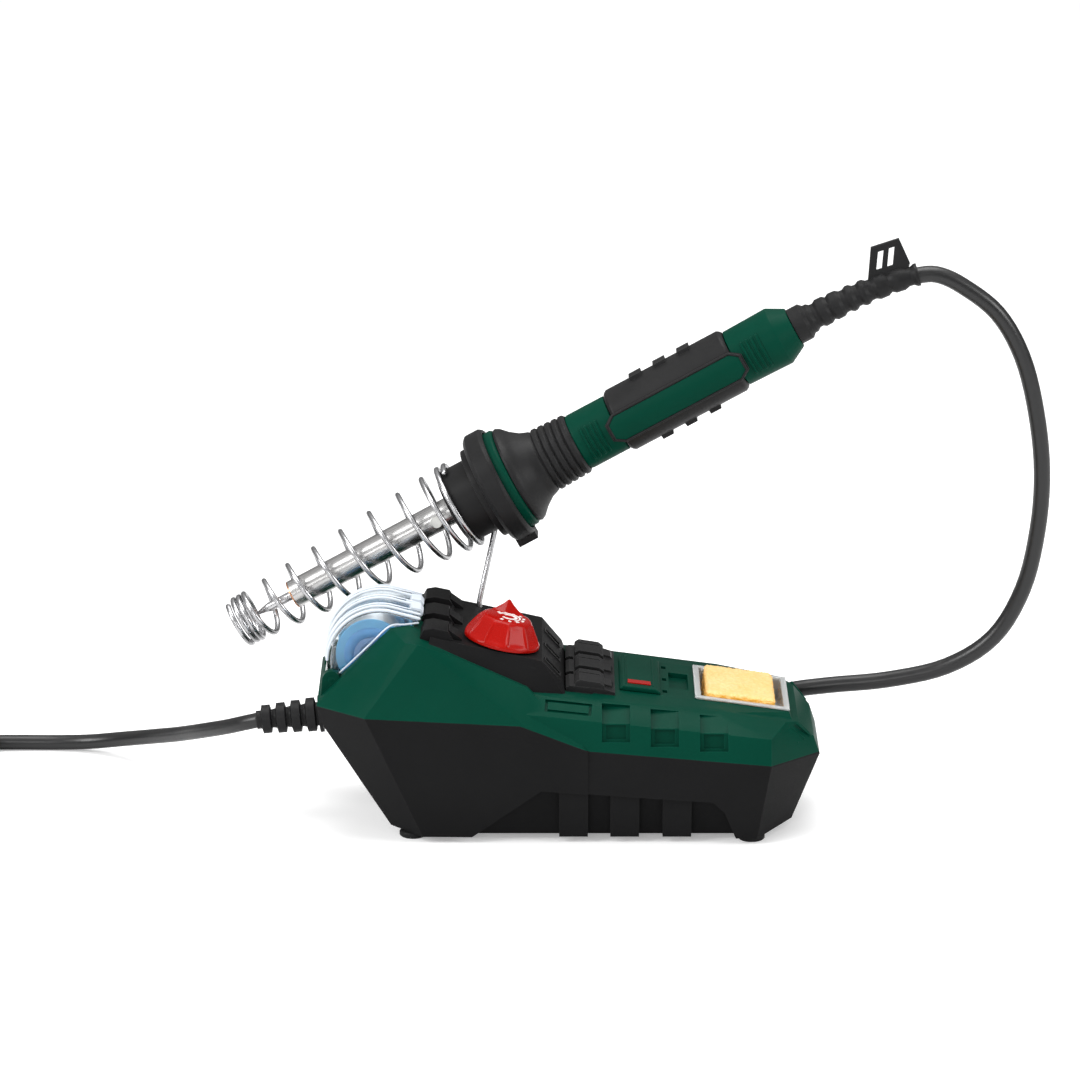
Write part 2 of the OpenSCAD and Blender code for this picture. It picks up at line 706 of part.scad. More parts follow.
module spring_hub() {
    color(black) on_iron() rotate_extrude($fn = fine) polygon([[hub_bore_r, -16.5], [13.4, -16.5],
        [15.2, -14.6], [15.2, -3.4], [18.6, -3.4], [18.6, -0.6], [hub_bore_r, -0.6]]);
}

collar_r = 23;
seat_r = 20.9;

module holder_collar() {
    color(black) on_iron() difference() {
        union() {
            rotate_extrude($fn = fine) polygon([[hub_bore_r, -0.6], [collar_r - 1.6, -0.6],
                [collar_r, 1], [collar_r, 6.6], [collar_r - 1, 8], [seat_r, 8], [seat_r, 5],
                [hub_bore_r, 5]]);
            translate([collar_r - 4, -5, -0.6]) cube([6, 10, 8.2]);
        }
        translate([0, 0, 5]) cylinder(r = seat_r, h = 10, $fn = fine);
        translate([collar_r - 0.6, -1.6, -4]) cube([3, 3.2, 9]);
    }
}

// ---------- iron ----------
tip_end = -105;
barrel_end = -88;
handle_start = 39;
handle_end = 134.4;
bore_r = barrel_d / 2 - 0.8;

module iron_tip() {
    color(tin) on_iron() rotate_extrude($fn = coarse) polygon([[0, tip_end], [0.35, tip_end],
        [1.85, tip_end + 6], [1.85, barrel_end + 0.2], [bore_r - 0.05, barrel_end + 3],
        [bore_r - 0.05, barrel_end + 30], [2.2, barrel_end + 30], [2.2, barrel_end + 8],
        [0, barrel_end + 6]]);
}

module tip_collar() {
    color(copper) on_iron() rotate_extrude($fn = fine) polygon([[1.95, barrel_end - 0.5],
        [barrel_d / 2 - 0.1, barrel_end - 0.5], [barrel_d / 2, barrel_end - 0.1],
        [barrel_d / 2, barrel_end], [1.95, barrel_end]]);
}

module barrel() {
    color(steel) on_iron() difference() {
        rotate_extrude($fn = fine) polygon([[bore_r, barrel_end], [barrel_d / 2, barrel_end],
            [barrel_d / 2, 36], [bore_r, 36]]);
        translate([0, 0, -24]) rotate([90, 0, 0]) cylinder(r = 1.55, h = 10, $fn = coarse);
    }
}

module heater() {
    color([0.93, 0.92, 0.9]) on_iron() translate([0, 0, barrel_end + 9])
        cylinder(r = 2.1, h = 108, $fn = coarse);
}

module barrel_screw() {
    color(steel) on_iron() translate([0, -bore_r + 0.4, -24]) rotate([90, 0, 0]) {
        cylinder(r = 1.5, h = 1.6, $fn = coarse);
        translate([0, 0, 1.5]) cylinder(r = 2.3, h = 0.9, $fn = coarse);
    }
}

neck_r = 8;

module guard_ring() {
    color(green) on_iron() rotate_extrude($fn = fine) polygon([[barrel_d / 2 + 0.05, 5.4],
        [17, 5.4], [20.4, 7.4], [20.4, 10.6], [19.4, 11.6], [barrel_d / 2 + 0.05, 11.6]]);
}

module finger_guard() {
    color(soft_black) on_iron() rotate_extrude($fn = fine) polygon(concat([[neck_r, 11.7],
        [19.7, 11.7], [20, 12.6], [19.2, 14.2], [16.4, 17], [14, 20.4], [12.8, 23.6]],
        [for (i = [0:4], q = [[12.2, 24.2], [13, 25], [13, 26.4], [12.2, 27.2]])
            [q[0] - 0.12 * i, q[1] + 2.9 * i]], [[11.6, handle_start], [neck_r, handle_start]]));
}

// Half of the handle, cut at its middle plane; side is -1 for the front and 1 for the back.
module handle_half(side) {
    color(green) on_iron() intersection() {
        rotate_extrude($fn = fine) polygon(concat([[barrel_d / 2 + 0.05, 20.2], [neck_r - 0.05, 20.2],
            [neck_r - 0.05, handle_start], [handle_d / 2 - 0.4, handle_start],
            [handle_d / 2, handle_start + 1]], [[handle_d / 2, 56], [10.2, 56.4], [10.2, 108.6],
            [handle_d / 2, 109], [handle_d / 2 + 0.4, 127.6], [8.2, handle_end], [4.6, handle_end],
            [4.6, 130], [8.6, 128], [8.6, 42], [barrel_d / 2 + 0.05, 40]]));
        translate([-40, side > 0 ? 0.03 : -40.03, 0]) cube([80, 40, 200]);
    }
}

module handle_front() {
    handle_half(-1);
}

module handle_back() {
    handle_half(1);
}

window = [[-2.6, 62], [-4.6, 66], [-4.6, 99], [-2.6, 103], [2.6, 103], [4.6, 99], [4.6, 66],
    [2.6, 62]];

module handle_grip() {
    color(soft_black) on_iron() difference() {
        union() {
            rotate_extrude($fn = fine) polygon([[10.25, 56.5], [11.6, 56.5], [13, 58.2], [13, 106.8],
                [11.6, 108.5], [10.25, 108.5]]);
            for (s = [-1, 1], z = [63, 76, 89]) translate([s * 12.6 - 1.4, -6, z])
                cube([2.8, 12, 9]);
        }
        translate([0, 0, 30]) cylinder(r = 10.25, h = 110, $fn = fine);
        for (s = [0, 180]) rotate(s) translate([0, -5, 0]) rotate([90, 0, 0])
            linear_extrude(12) polygon(window);
    }
}

module handle_plates() {
    color(green) on_iron() for (s = [0, 180]) rotate(s) intersection() {
        translate([0, -5, 0]) rotate([90, 0, 0]) linear_extrude(12) offset(delta = -0.2)
            polygon(window);
        difference() {
            cylinder(r = 12.7, h = 140, $fn = fine);
            translate([0, 0, -1]) cylinder(r = 10.3, h = 142, $fn = fine);
        }
    }
}

module terminal_block() {
    color(tin) on_iron() difference() {
        translate([0, 0, 50]) cylinder(r = 6.4, h = 12, $fn = coarse);
        for (x = [-3, 3]) translate([x, 0, 49]) cylinder(r = 1.3, h = 14, $fn = coarse);
    }
    color(copper) on_iron() for (x = [-3, 3]) translate([x, 0, 50])
        cylinder(r = 1.2, h = 60, $fn = coarse);
}

// ---------- lead from the iron to the base ----------
relief_route = [[87.4, iron_y, 186.2], [94, iron_y, 189.8], [101, iron_y, 193.6],
    [108.5, iron_y, 197.3], [116, iron_y, 200.6], [125.4, iron_y, 204.3], [135, iron_y, 207]];
relief_steps = 6;
relief_path = smooth(relief_route, relief_steps);
function relief_r(k) = k < 0.12 ? 7.4 : let (taper = 6.2 - 1.7 * k, m = (k * 42) % 5)
    m < 3 ? taper : taper - 0.9;

module lead_relief() {
    color(black) {
        n = len(relief_path) - 1;
        sweep(relief_path, [for (i = [0:n]) relief_r(i / n)], 16, [0, 1, 0]);
    }
    color(black) difference() {
        side_slab([[115.4, 203], [116.4, 217.6], [127.2, 221.2], [131.6, 211.6], [130, 205]],
            iron_y - 1.1, iron_y + 1.1);
        side_slab([[118.6, 208.6], [119.2, 216], [121.4, 216.7], [120.8, 209.3]],
            iron_y - 2, iron_y + 2);
        side_slab([[122.8, 209.9], [123.4, 217.4], [125.6, 218.1], [125, 210.6]],
            iron_y - 2, iron_y + 2);
    }
}

lead_route = [[135, iron_y, 207], [150, iron_y, 203.4], [166, 34, 191.2], [176, 36, 173.6],
    [182, 38, 151.2], [185, 40, 126.6], [184, 43, 102.1], [179, 46, 77.4], [168, 49, 56.8],
    [150, 52, 44], [127, 55, 37.6], [104, 58, 34.4], [88, 60, 31.6], [72, 64, 26], [58, 73, 19],
    [50, 83, 14.4], [46.8, 93, 12]];

module lead_tube() {
    color(black) cord(smooth(lead_route, 2), lead_d, 10, [0, 1, 0]);
}

lead_coil_at = [2, 106, 0];
lead_coil_r = [29.4, 42.6];

module coil_solid(at, r, h) {
    translate(at) rotate_extrude($fn = fine) polygon([[r[0], 1.2], [r[0] + 1.2, 0], [r[1] - 1.2, 0],
        [r[1], 1.2], [r[1], h - 1.2], [r[1] - 1.2, h], [r[0] + 1.2, h], [r[0], h - 1.2]]);
}

module lead_coil() {
    color(black) coil_solid(lead_coil_at, lead_coil_r, 2 * lead_d);
}

tail_route = [[-34, 68.4, 17.7], [-34.6, 74, 15], [-36.2, 80, 11.4]];

module lead_tail() {
    color(black) cord(tail_route, lead_d, 10, [1, 0, 0]);
}

module relief_discs(start_r, count, pitch, disc_r, core_r) {
    rotate_extrude($fn = fine) polygon(concat([[0, 0], [start_r, 0], [start_r, 1.4], [core_r, 1.6]],
        [for (i = [0:count - 1], q = [[core_r, 0], [disc_r, 0.5], [disc_r, pitch - 2.1],
            [core_r, pitch - 1.6]]) [q[0] - 0.35 * i, 2.4 + pitch * i + q[1]]],
        [[core_r - 1, 2.6 + pitch * count], [0, 2.6 + pitch * count]]));
}

module base_relief() {
    color(black) translate([back_gland[0], back_gland[1] - 1, back_gland[2]])
        rotate([-95.6, 0, 0]) {
            relief_discs(7, 4, 5.2, 5.8, 4.4);
            translate([0, 0, -8]) cylinder(r = 4.3, h = 8.2, $fn = coarse);
        }
}

// ---------- mains cord ----------
module mains_relief() {
    color(black) translate([-95.4, 0, gland_z]) rotate([0, -96, 0]) {
        relief_discs(7.2, 4, 5.8, 6.6, 4.6);
        translate([0, 0, -8]) cylinder(r = 4.7, h = 8.2, $fn = coarse);
    }
}

mains_route = [[-121, 0, 37.3], [-132, 9, 32], [-143, 24, 25.8], [-154, 43, 19],
    [-166, 60, 12.8], [-179, 73, 7.8], [-192, 80, 4.6], [-205, 82.5, 3.2], [-219, 83, 3],
    [-232, 83, 3], [-244.6, 83, 3]];
mains_coil_at = [-268, 44, 0];
mains_coil_r = [24, 42];

module mains_cord() {
    color(black) cord(smooth(mains_route, 2), mains_d, 10, [0, 0, 1]);
}

module mains_coil() {
    color(black) coil_solid(mains_coil_at, mains_coil_r, 2 * mains_d);
}

mains_tail_route = [[-308.6, 22, 8.6], [-309, 14, 8], [-309, 5, 7.3], [-308, -4, 7]];
plug_at = [-308, -4, 7];

module mains_tail() {
    color(black) cord(mains_tail_route, mains_d, 10, [1, 0, 0]);
}

module mains_plug() {
    color(black) translate(plug_at) rotate([90, 0, 0]) {
        rotate_extrude($fn = coarse) polygon([[0, 0], [3.6, 0], [4.4, 12], [5.4, 16], [0, 16]]);
        translate([0, 0, 15]) linear_extrude(24) difference() {
            union() {
                square([24, 14], center = true);
                for (s = [-1, 1]) translate([s * 10.5, 0]) circle(r = 7, $fn = coarse);
            }
            for (s = [-1, 1]) translate([0, s * 12.4]) circle(r = 7, $fn = coarse);
        }
    }
}

module plug_pins() {
    color(steel) translate(plug_at) rotate([90, 0, 0]) for (s = [-1, 1])
        translate([s * 9.4, 0, 39]) {
            cylinder(r = 2, h = 17.6, $fn = coarse);
            translate([0, 0, 17.6]) cylinder(r1 = 2, r2 = 1.2, h = 1.2, $fn = coarse);
        }
}

module board_wires() {
    color([0.1, 0.2, 0.6]) cord(smooth([[-76, 2, 40], [-64, 6, 41], [-54, 10, 44],
        [-44, 12, 52]], 3), 2, 8, [0, 0, 1]);
    color([0.4, 0.2, 0.1]) cord(smooth([[-76, -2, 40], [-64, -3, 38], [-54, 0, 41],
        [-44, 6, 52]], 3), 2, 8, [0, 0, 1]);
    color(red) cord(smooth([[-34, 36, 20.8], [-31, 26, 24], [-26, 18, 34], [-22, 10, 44]], 3),
        2, 8, [0, 0, 1]);
}

lower_housing();
upper_housing();
rubber_feet();
housing_screws();
control_panel();
ribbed_cover();
badge_plate();
badge_bar();
knob();
pot_shaft();
pot_body();
pot_nut();
circuit_board();
board_screws();
triac();
heat_sink();
capacitor();
board_wires();
cord_clamp();
clamp_screws();
reel_cradle();
reel_axle();
solder_reel();
solder_wire();
lid();
lid_pin();
sponge_tray();
sponge();
holder_spring();
holder_leg();
spring_hub();
holder_collar();
iron_tip();
tip_collar();
barrel();
heater();
barrel_screw();
guard_ring();
finger_guard();
handle_front();
handle_back();
handle_grip();
handle_plates();
terminal_block();
lead_relief();
lead_tube();
lead_coil();
lead_tail();
base_relief();
mains_relief();
mains_cord();
mains_coil();
mains_tail();
mains_plug();
plug_pins();
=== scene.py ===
"""Soldering iron station: the looks of its pieces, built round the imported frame.

Lengths in the classes are in millimetres unless a name ends in _m, and every mesh is made in
metres in the frame's own axes: X along the base towards the sponge, Y to the back, Z up.
"""

from __future__ import annotations

import logging
import math
from collections.abc import Callable
from dataclasses import dataclass, field
from enum import Enum

import bmesh
import bpy
from mathutils import Matrix, Vector, noise


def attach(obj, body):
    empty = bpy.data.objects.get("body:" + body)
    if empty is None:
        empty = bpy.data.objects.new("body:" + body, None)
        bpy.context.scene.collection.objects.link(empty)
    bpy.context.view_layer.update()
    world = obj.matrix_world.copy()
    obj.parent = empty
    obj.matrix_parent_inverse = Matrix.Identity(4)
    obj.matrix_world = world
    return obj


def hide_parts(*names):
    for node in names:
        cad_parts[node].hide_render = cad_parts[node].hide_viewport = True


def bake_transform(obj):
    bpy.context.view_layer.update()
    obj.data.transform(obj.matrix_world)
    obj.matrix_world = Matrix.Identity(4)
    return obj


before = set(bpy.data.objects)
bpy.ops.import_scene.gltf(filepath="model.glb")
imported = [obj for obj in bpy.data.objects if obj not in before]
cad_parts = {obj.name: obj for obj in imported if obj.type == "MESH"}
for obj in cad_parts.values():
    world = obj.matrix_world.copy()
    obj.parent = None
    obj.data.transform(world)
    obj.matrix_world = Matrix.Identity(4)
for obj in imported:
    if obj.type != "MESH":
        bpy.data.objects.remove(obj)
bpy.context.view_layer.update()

MM = 0.001
LOG = logging.getLogger("station")

IRON_TILT = 28.8
IRON_AT = Vector((-30.5, 33.0, 121.2)) * MM
PANEL_TILT = 12.4
KNOB_AT = Vector((-26.0, -17.0, 73.6)) * MM
TRAY_TILT = 8.0
TRAY_AT = Vector((66.5, 0.0, 49.5)) * MM
REEL_AT = Vector((-76.0, -1.5, 68.8)) * MM

ON_IRON = Matrix.Translation(IRON_AT) @ Matrix.Rotation(math.radians(90 - IRON_TILT), 4, "Y")
ON_PANEL = Matrix.Translation(KNOB_AT) @ Matrix.Rotation(math.radians(PANEL_TILT), 4, "Y")
ON_TRAY = Matrix.Translation(TRAY_AT) @ Matrix.Rotation(math.radians(TRAY_TILT), 4, "Y")
ON_REEL = Matrix.Translation(REEL_AT) @ Matrix.Rotation(math.radians(90), 4, "X")


class Body(str, Enum):
    """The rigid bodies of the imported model."""

    BASE = "base"
    KNOB = "knob"
    REEL = "reel"
    LID = "lid"
    SPONGE = "sponge"
    IRON = "iron"


# ---------------------------------------------------------------- mesh helpers


def vec(x: float, y: float, z: float) -> Vector:
    """A point given in millimetres, in metres."""
    return Vector((x, y, z)) * MM


def smooth_line(points: list[Vector], steps: int) -> list[Vector]:
    """Runs a smooth curve through the given points.

    Args:
        points: the points that the curve passes, in order.
        steps: how many short pieces lie between two of them.

    Returns:
        The curve's own points, the last of the given ones included.
    """
    last = len(points) - 1
    line: list[Vector] = []
    for i in range(last):
        a, b = points[max(i - 1, 0)], points[i]
        c, d = points[i + 1], points[min(i + 2, last)]
        for j in range(steps):
            k = j / steps
            line.append(
                0.5
                * (
                    2 * b
                    + (c - a) * k
                    + (2 * a - 5 * b + 4 * c - d) * k * k
                    + (3 * b - a - 3 * c + d) * k * k * k
                )
            )
    line.append(points[last].copy())
    return line


def side_frames(line: list[Vector], first: Vector) -> list[tuple[Vector, Vector]]:
    """Carries a sideways direction along a line without twist.

    Args:
        line: the line's points.
        first: roughly the sideways direction at the start.

    Returns:
        For each point, two directions square to the line there and to each other.
    """
    frames: list[tuple[Vector, Vector]] = []
    side = first
    for i in range(len(line)):
        along = (line[min(i + 1, len(line) - 1)] - line[max(i - 1, 0)]).normalized()
        side = (side - along * side.dot(along)).normalized()
        frames.append((side, along.cross(side)))
    return frames


def mesh_object(
    name: str,
    points: list[Vector],
    faces: list[tuple[int, ...]],
    soft: bool = True,
) -> bpy.types.Object:
    """Makes a mesh object in the scene.

    Args:
        name: the piece's name.
        points: its vertices, in metres.
        faces: its faces, as vertex numbers.
        soft: whether its faces are shaded smooth.

    Returns:
        The new object.
    """
    mesh = bpy.data.meshes.new(name)
    mesh.from_pydata([tuple(p) for p in points], [], faces)
    mesh.validate()
    mesh.polygons.foreach_set("use_smooth", [soft] * len(mesh.polygons))
    piece = bpy.data.objects.new(name, mesh)
    bpy.context.scene.collection.objects.link(piece)
    return piece


def tube(
    name: str,
    line: list[Vector],
    radius: float | list[float],
    sides: int = 14,
    first: Vector = Vector((0, 0, 1)),
    round_ends: bool = False,
) -> bpy.types.Object:
    """Makes a closed tube round a line.

    Args:
        name: the piece's name.
        line: the tube's centre line, in metres.
        radius: its radius, or one radius for each point of the line.
        sides: how many sides each ring has.
        first: roughly the sideways direction at the start.
        round_ends: whether the two ends are small domes.

    Returns:
        The new object.
    """
    radii = list(radius) if isinstance(radius, list) else [radius] * len(line)
    centres = list(line)
    frames = side_frames(centres, first)
    if round_ends:
        head = (line[0] - line[1]).normalized() * radii[0]
        tail = (line[-1] - line[-2]).normalized() * radii[-1]
        low, high = radii[0], radii[-1]
        for step in (0.45, 0.8, 0.97):
            ring = math.sqrt(1 - step * step)
            centres.insert(0, line[0] + head * step)
            radii.insert(0, low * ring)
            frames.insert(0, frames[0])
            centres.append(line[-1] + tail * step)
            radii.append(high * ring)
            frames.append(frames[-1])
    points: list[Vector] = []
    for centre, size, (u, v) in zip(centres, radii, frames):
        for j in range(sides):
            a = 2 * math.pi * j / sides
            points.append(centre + size * (u * math.cos(a) + v * math.sin(a)))
    faces: list[tuple[int, ...]] = []
    for i in range(len(centres) - 1):
        for j in range(sides):
            k = (j + 1) % sides
            faces.append((i * sides + j, i * sides + k, (i + 1) * sides + k, (i + 1) * sides + j))
    faces.append(tuple(range(sides - 1, -1, -1)))
    faces.append(tuple(range((len(centres) - 1) * sides, len(centres) * sides)))
    return mesh_object(name, points, faces)


def lathe(
    name: str,
    profile: list[tuple[float, float]],
    place: Matrix,
    steps: int = 72,
    closed: bool = True,
    shape: Callable[[int, float], float] | None = None,
) -> bpy.types.Object:
    """Turns a profile round the local Z axis.

    Args:
        name: the piece's name.
        profile: pairs of radius and height, in millimetres.
        place: where the local axes stand in the frame.
        steps: how many steps one turn has.
        closed: whether the profile joins its own start, as a ring's does.
        shape: gives the factor on the radius for a point's number in the profile and its angle.

    Returns:
        The new object.
    """
    points: list[Vector] = []
    for s in range(steps):
        a = 2 * math.pi * s / steps
        for i, (r, z) in enumerate(profile):
            out = r * shape(i, a) if shape else r
            points.append(place @ (Vector((out * math.cos(a), out * math.sin(a), z)) * MM))
    n = len(profile)
    faces: list[tuple[int, ...]] = []
    for s in range(steps):
        t = (s + 1) % steps
        for i in range(n if closed else n - 1):
            k = (i + 1) % n
            faces.append((s * n + i, t * n + i, t * n + k, s * n + k))
    piece = mesh_object(name, points, faces)
    clean(piece)
    return piece


def prism(
    name: str,
    outline: list[tuple[float, float]],
    low: float,
    high: float,
    place: Matrix | None = None,
) -> bpy.types.Object:
    """Fills an outline drawn in local X and Z from one local Y to another.

    Args:
        name: the piece's name.
        outline: pairs of X and Z, in millimetres.
        low: the nearer local Y.
        high: the farther local Y.
        place: where the local axes stand in the frame.

    Returns:
        The new object.
    """
    at = place or Matrix.Identity(4)
    n = len(outline)
    points = [at @ (Vector((x, y, z)) * MM) for y in (low, high) for x, z in outline]
    faces: list[tuple[int, ...]] = [tuple(range(n)), tuple(range(2 * n - 1, n - 1, -1))]
    for i in range(n):
        k = (i + 1) % n
        faces.append((i, i + n, k + n, k))
    piece = mesh_object(name, points, faces, soft=False)
    clean(piece)
    return piece


def loft(name: str, rings: list[list[Vector]]) -> bpy.types.Object:
    """Joins rings of points, one after the other, into a closed skin.

    Args:
        name: the piece's name.
        rings: the rings, each with the same number of points, in metres.

    Returns:
        The new object.
    """
    n = len(rings[0])
    points = [spot for ring in rings for spot in ring]
    faces: list[tuple[int, ...]] = []
    for i in range(len(rings) - 1):
        for j in range(n):
            k = (j + 1) % n
            faces.append((i * n + j, i * n + k, i * n + n + k, i * n + n + j))
    last = (len(rings) - 1) * n
    faces.append(tuple(range(n)))
    faces.append(tuple(range(last + n - 1, last - 1, -1)))
    piece = mesh_object(name, points, faces)
    clean(piece)
    return piece


def clean(piece: bpy.types.Object) -> None:
    """Joins doubled vertices and turns every face outwards."""
    work = bmesh.new()
    work.from_mesh(piece.data)
    bmesh.ops.remove_doubles(work, verts=work.verts, dist=1e-7)
    bmesh.ops.recalc_face_normals(work, faces=work.faces)
    work.to_mesh(piece.data)
    work.free()


def soften_edges(piece: bpy.types.Object, width: float, steps: int = 2, angle: float = 28) -> None:
    """Gives a piece small rounded edges.

    Args:
        piece: the object, whose own mesh stays as it is.
        width: the rounding's width, in millimetres.
        steps: how many facets the rounding has.
        angle: edges that turn less than this many degrees stay as they are.
    """
    weld = piece.modifiers.new("join", "WELD")
    weld.merge_threshold = 1e-6
    bevel = piece.modifiers.new("edges", "BEVEL")
    bevel.width = width * MM
    bevel.segments = steps
    bevel.limit_method = "ANGLE"
    bevel.angle_limit = math.radians(angle)
    bevel.use_clamp_overlap = True
    bevel.miter_outer = "MITER_ARC"
    even = piece.modifiers.new("shading", "WEIGHTED_NORMAL")
    even.keep_sharp = False
    even.weight = 80


def join(name: str, parts: list[bpy.types.Object]) -> bpy.types.Object:
    """Joins objects into one mesh.

    Args:
        name: the joined piece's name.
        parts: the objects, whose own places are kept.

    Returns:
        The first object, which now holds all of them.
    """
    whole = bmesh.new()
    slots: list[Material] = []
    for part in parts:
        shift = []
        for material in part.data.materials:
            if material not in slots:
                slots.append(material)
            shift.append(slots.index(material))
        piece = part.data.copy()
        piece.transform(part.matrix_world)
        if shift:
            for polygon in piece.polygons:
                polygon.material_index = shift[min(polygon.material_index, len(shift) - 1)]
        whole.from_mesh(piece)
        bpy.data.meshes.remove(piece)
    mesh = bpy.data.meshes.new(name)
    whole.to_mesh(mesh)
    whole.free()
    for material in slots:
        mesh.materials.append(material)
    for part in parts:
        bpy.data.objects.remove(part)
    joined = bpy.data.objects.new(name, mesh)
    bpy.context.scene.collection.objects.link(joined)
    return joined


# ---------------------------------------------------------------- shader groups


Colour = tuple[float, float, float]
Material = bpy.types.Material
Socket = bpy.types.NodeSocket
Term = Socket | float


def rgba(colour: Colour) -> tuple[float, float, float, float]:
    """A colour with full alpha."""
    return (*colour, 1.0)


class Kind(str, Enum):
    """The kinds of socket that a shader group has."""

    NUMBER = "NodeSocketFloat"
    COLOUR = "NodeSocketColor"
    DIRECTION = "NodeSocketVector"


class Graph:
    """Short ways to add nodes to a shader node tree."""

    tree: bpy.types.NodeTree

    def add(self, kind: str, **settings: object) -> bpy.types.Node:
        """Adds a node.

        Args:
            kind: the node's type without its common first part, such as "TexNoise".
            settings: the node's properties; a key that starts with an underscore sets the input
                of that name, with underscores for spaces.

        Returns:
            The new node.
        """
        made = self.tree.nodes.new("ShaderNode" + kind)
        for key, value in settings.items():
            if key.startswith("_"):
                made.inputs[key[1:].replace("_", " ")].default_value = value
            else:
                setattr(made, key, value)
        return made

    def link(self, source: Socket, target: Socket) -> None:
        """Links two sockets."""
        self.tree.links.new(source, target)

    def feed(self, term: Term | tuple[float, ...], target: Socket) -> None:
        """Links a socket to an input, or sets the input to a constant."""
        if isinstance(term, bpy.types.NodeSocket):
            self.link(term, target)
        else:
            target.default_value = term

    def math(self, operation: str, *terms: Term, clamp: bool = False) -> Socket:
        """Adds a calculation and returns its result."""
        made = self.add("Math", operation=operation, use_clamp=clamp)
        for i, term in enumerate(terms):
            self.feed(term, made.inputs[i])
        return made.outputs["Value"]

    def remap(
        self, value: Socket, low: float, high: float, to_low: float = 0.0, to_high: float = 1.0
    ) -> Socket:
        """Carries a value from one range over to another, within that range's ends."""
        made = self.add(
            "MapRange", _From_Min=low, _From_Max=high, _To_Min=to_low, _To_Max=to_high
        )
        self.link(value, made.inputs["Value"])
        return made.outputs["Result"]

    def place(self) -> Socket:
        """The place on the piece, in its own axes."""
        return self.add("TexCoord").outputs["Object"]

    def clouds(self, place: Socket, scale: Term, detail: float, roughness: float) -> Socket:
        """Adds a noise of this scale and returns its value."""
        made = self.add("TexNoise", _Detail=detail, _Roughness=roughness)
        self.link(place, made.inputs["Vector"])
        self.feed(scale, made.inputs["Scale"])
        return made.outputs["Fac"]

    def upward(self, normal: str) -> Socket:
        """How far the surface's normal of this name points up."""
        apart = self.add("SeparateXYZ")
        self.link(self.add("NewGeometry").outputs[normal], apart.inputs[0])
        return apart.outputs["Z"]

    def shade(self, colour: Socket, factor: Socket) -> Socket:
        """Multiplies a colour by a value."""
        made = self.add("VectorMath", operation="SCALE")
        self.link(colour, made.inputs[0])
        self.link(factor, made.inputs["Scale"])
        return made.outputs["Vector"]

    def mix(
        self, factor: Socket, first: Socket | tuple[float, ...], second: Socket | tuple[float, ...]
    ) -> Socket:
        """Mixes two colours."""
        made = self.add("Mix", data_type="RGBA")
        self.link(factor, made.inputs["Factor"])
        self.feed(first, made.inputs[6])
        self.feed(second, made.inputs[7])
        return made.outputs[2]


@dataclass
class Effect(Graph):
    """A shader node group with named inputs and outputs, placed in many materials."""

    name: str
    inputs: dict[str, tuple[Kind, float | tuple[float, ...]]]
    outputs: dict[str, Kind]
    tree: bpy.types.NodeTree = field(init=False)
    start: bpy.types.Node = field(init=False)
    end: bpy.types.Node = field(init=False)

    def __post_init__(self) -> None:
        """Makes the group and its sockets."""
        self.tree = bpy.data.node_groups.new(self.name, "ShaderNodeTree")
        for name, (kind, value) in self.inputs.items():
            socket = self.tree.interface.new_socket(
                name, in_out="INPUT", socket_type=kind.value
            )
            socket.default_value = value
        for name, kind in self.outputs.items():
            self.tree.interface.new_socket(name, in_out="OUTPUT", socket_type=kind.value)
        self.start = self.tree.nodes.new("NodeGroupInput")
        self.end = self.tree.nodes.new("NodeGroupOutput")

    def given(self, name: str) -> Socket:
        """The group's own input of this name."""
        return self.start.outputs[name]

    def give(self, **results: Socket) -> None:
        """Links results to the group's outputs of those names."""
        for name, source in results.items():
            self.link(source, self.end.inputs[name])


def edge_wear_and_highlight_effect() -> Effect:
    """Paler edges, a painted highlight broken into scuffed patches: a mask that is high where a
    bevelled normal leaves the true one.
    """
    made = Effect(
        "edge wear",
        {
            "Colour": (Kind.COLOUR, (0.1, 0.1, 0.1, 1)),
            "Rubbed Colour": (Kind.COLOUR, (0.3, 0.3, 0.3, 1)),
            "Amount": (Kind.NUMBER, 0.5),
            "Patch Size": (Kind.NUMBER, 120.0),
        },
        {"Colour": Kind.COLOUR, "Mask": Kind.NUMBER},
    )
    dot = made.add("VectorMath", operation="DOT_PRODUCT")
    made.link(made.add("Bevel", samples=4, _Radius=0.0006).outputs["Normal"], dot.inputs[0])
    made.link(made.add("NewGeometry").outputs["Normal"], dot.inputs[1])
    turn = made.remap(dot.outputs["Value"], 0.995, 0.86)
    patches = made.clouds(made.place(), made.given("Patch Size"), 4.0, 0.65)
    worn_and_highlit = made.math("MULTIPLY", turn, made.remap(patches, 0.35, 0.7, 0.35, 1.0))
    mask = made.math("MULTIPLY", worn_and_highlit, made.given("Amount"), clamp=True)
    # Painted highlight: the sharp edges take the paler colour, in patches that also stand for
    # scuffing.
    colour = made.mix(mask, made.given("Colour"), made.given("Rubbed Colour"))
    made.give(Colour=colour, Mask=mask)
    return made


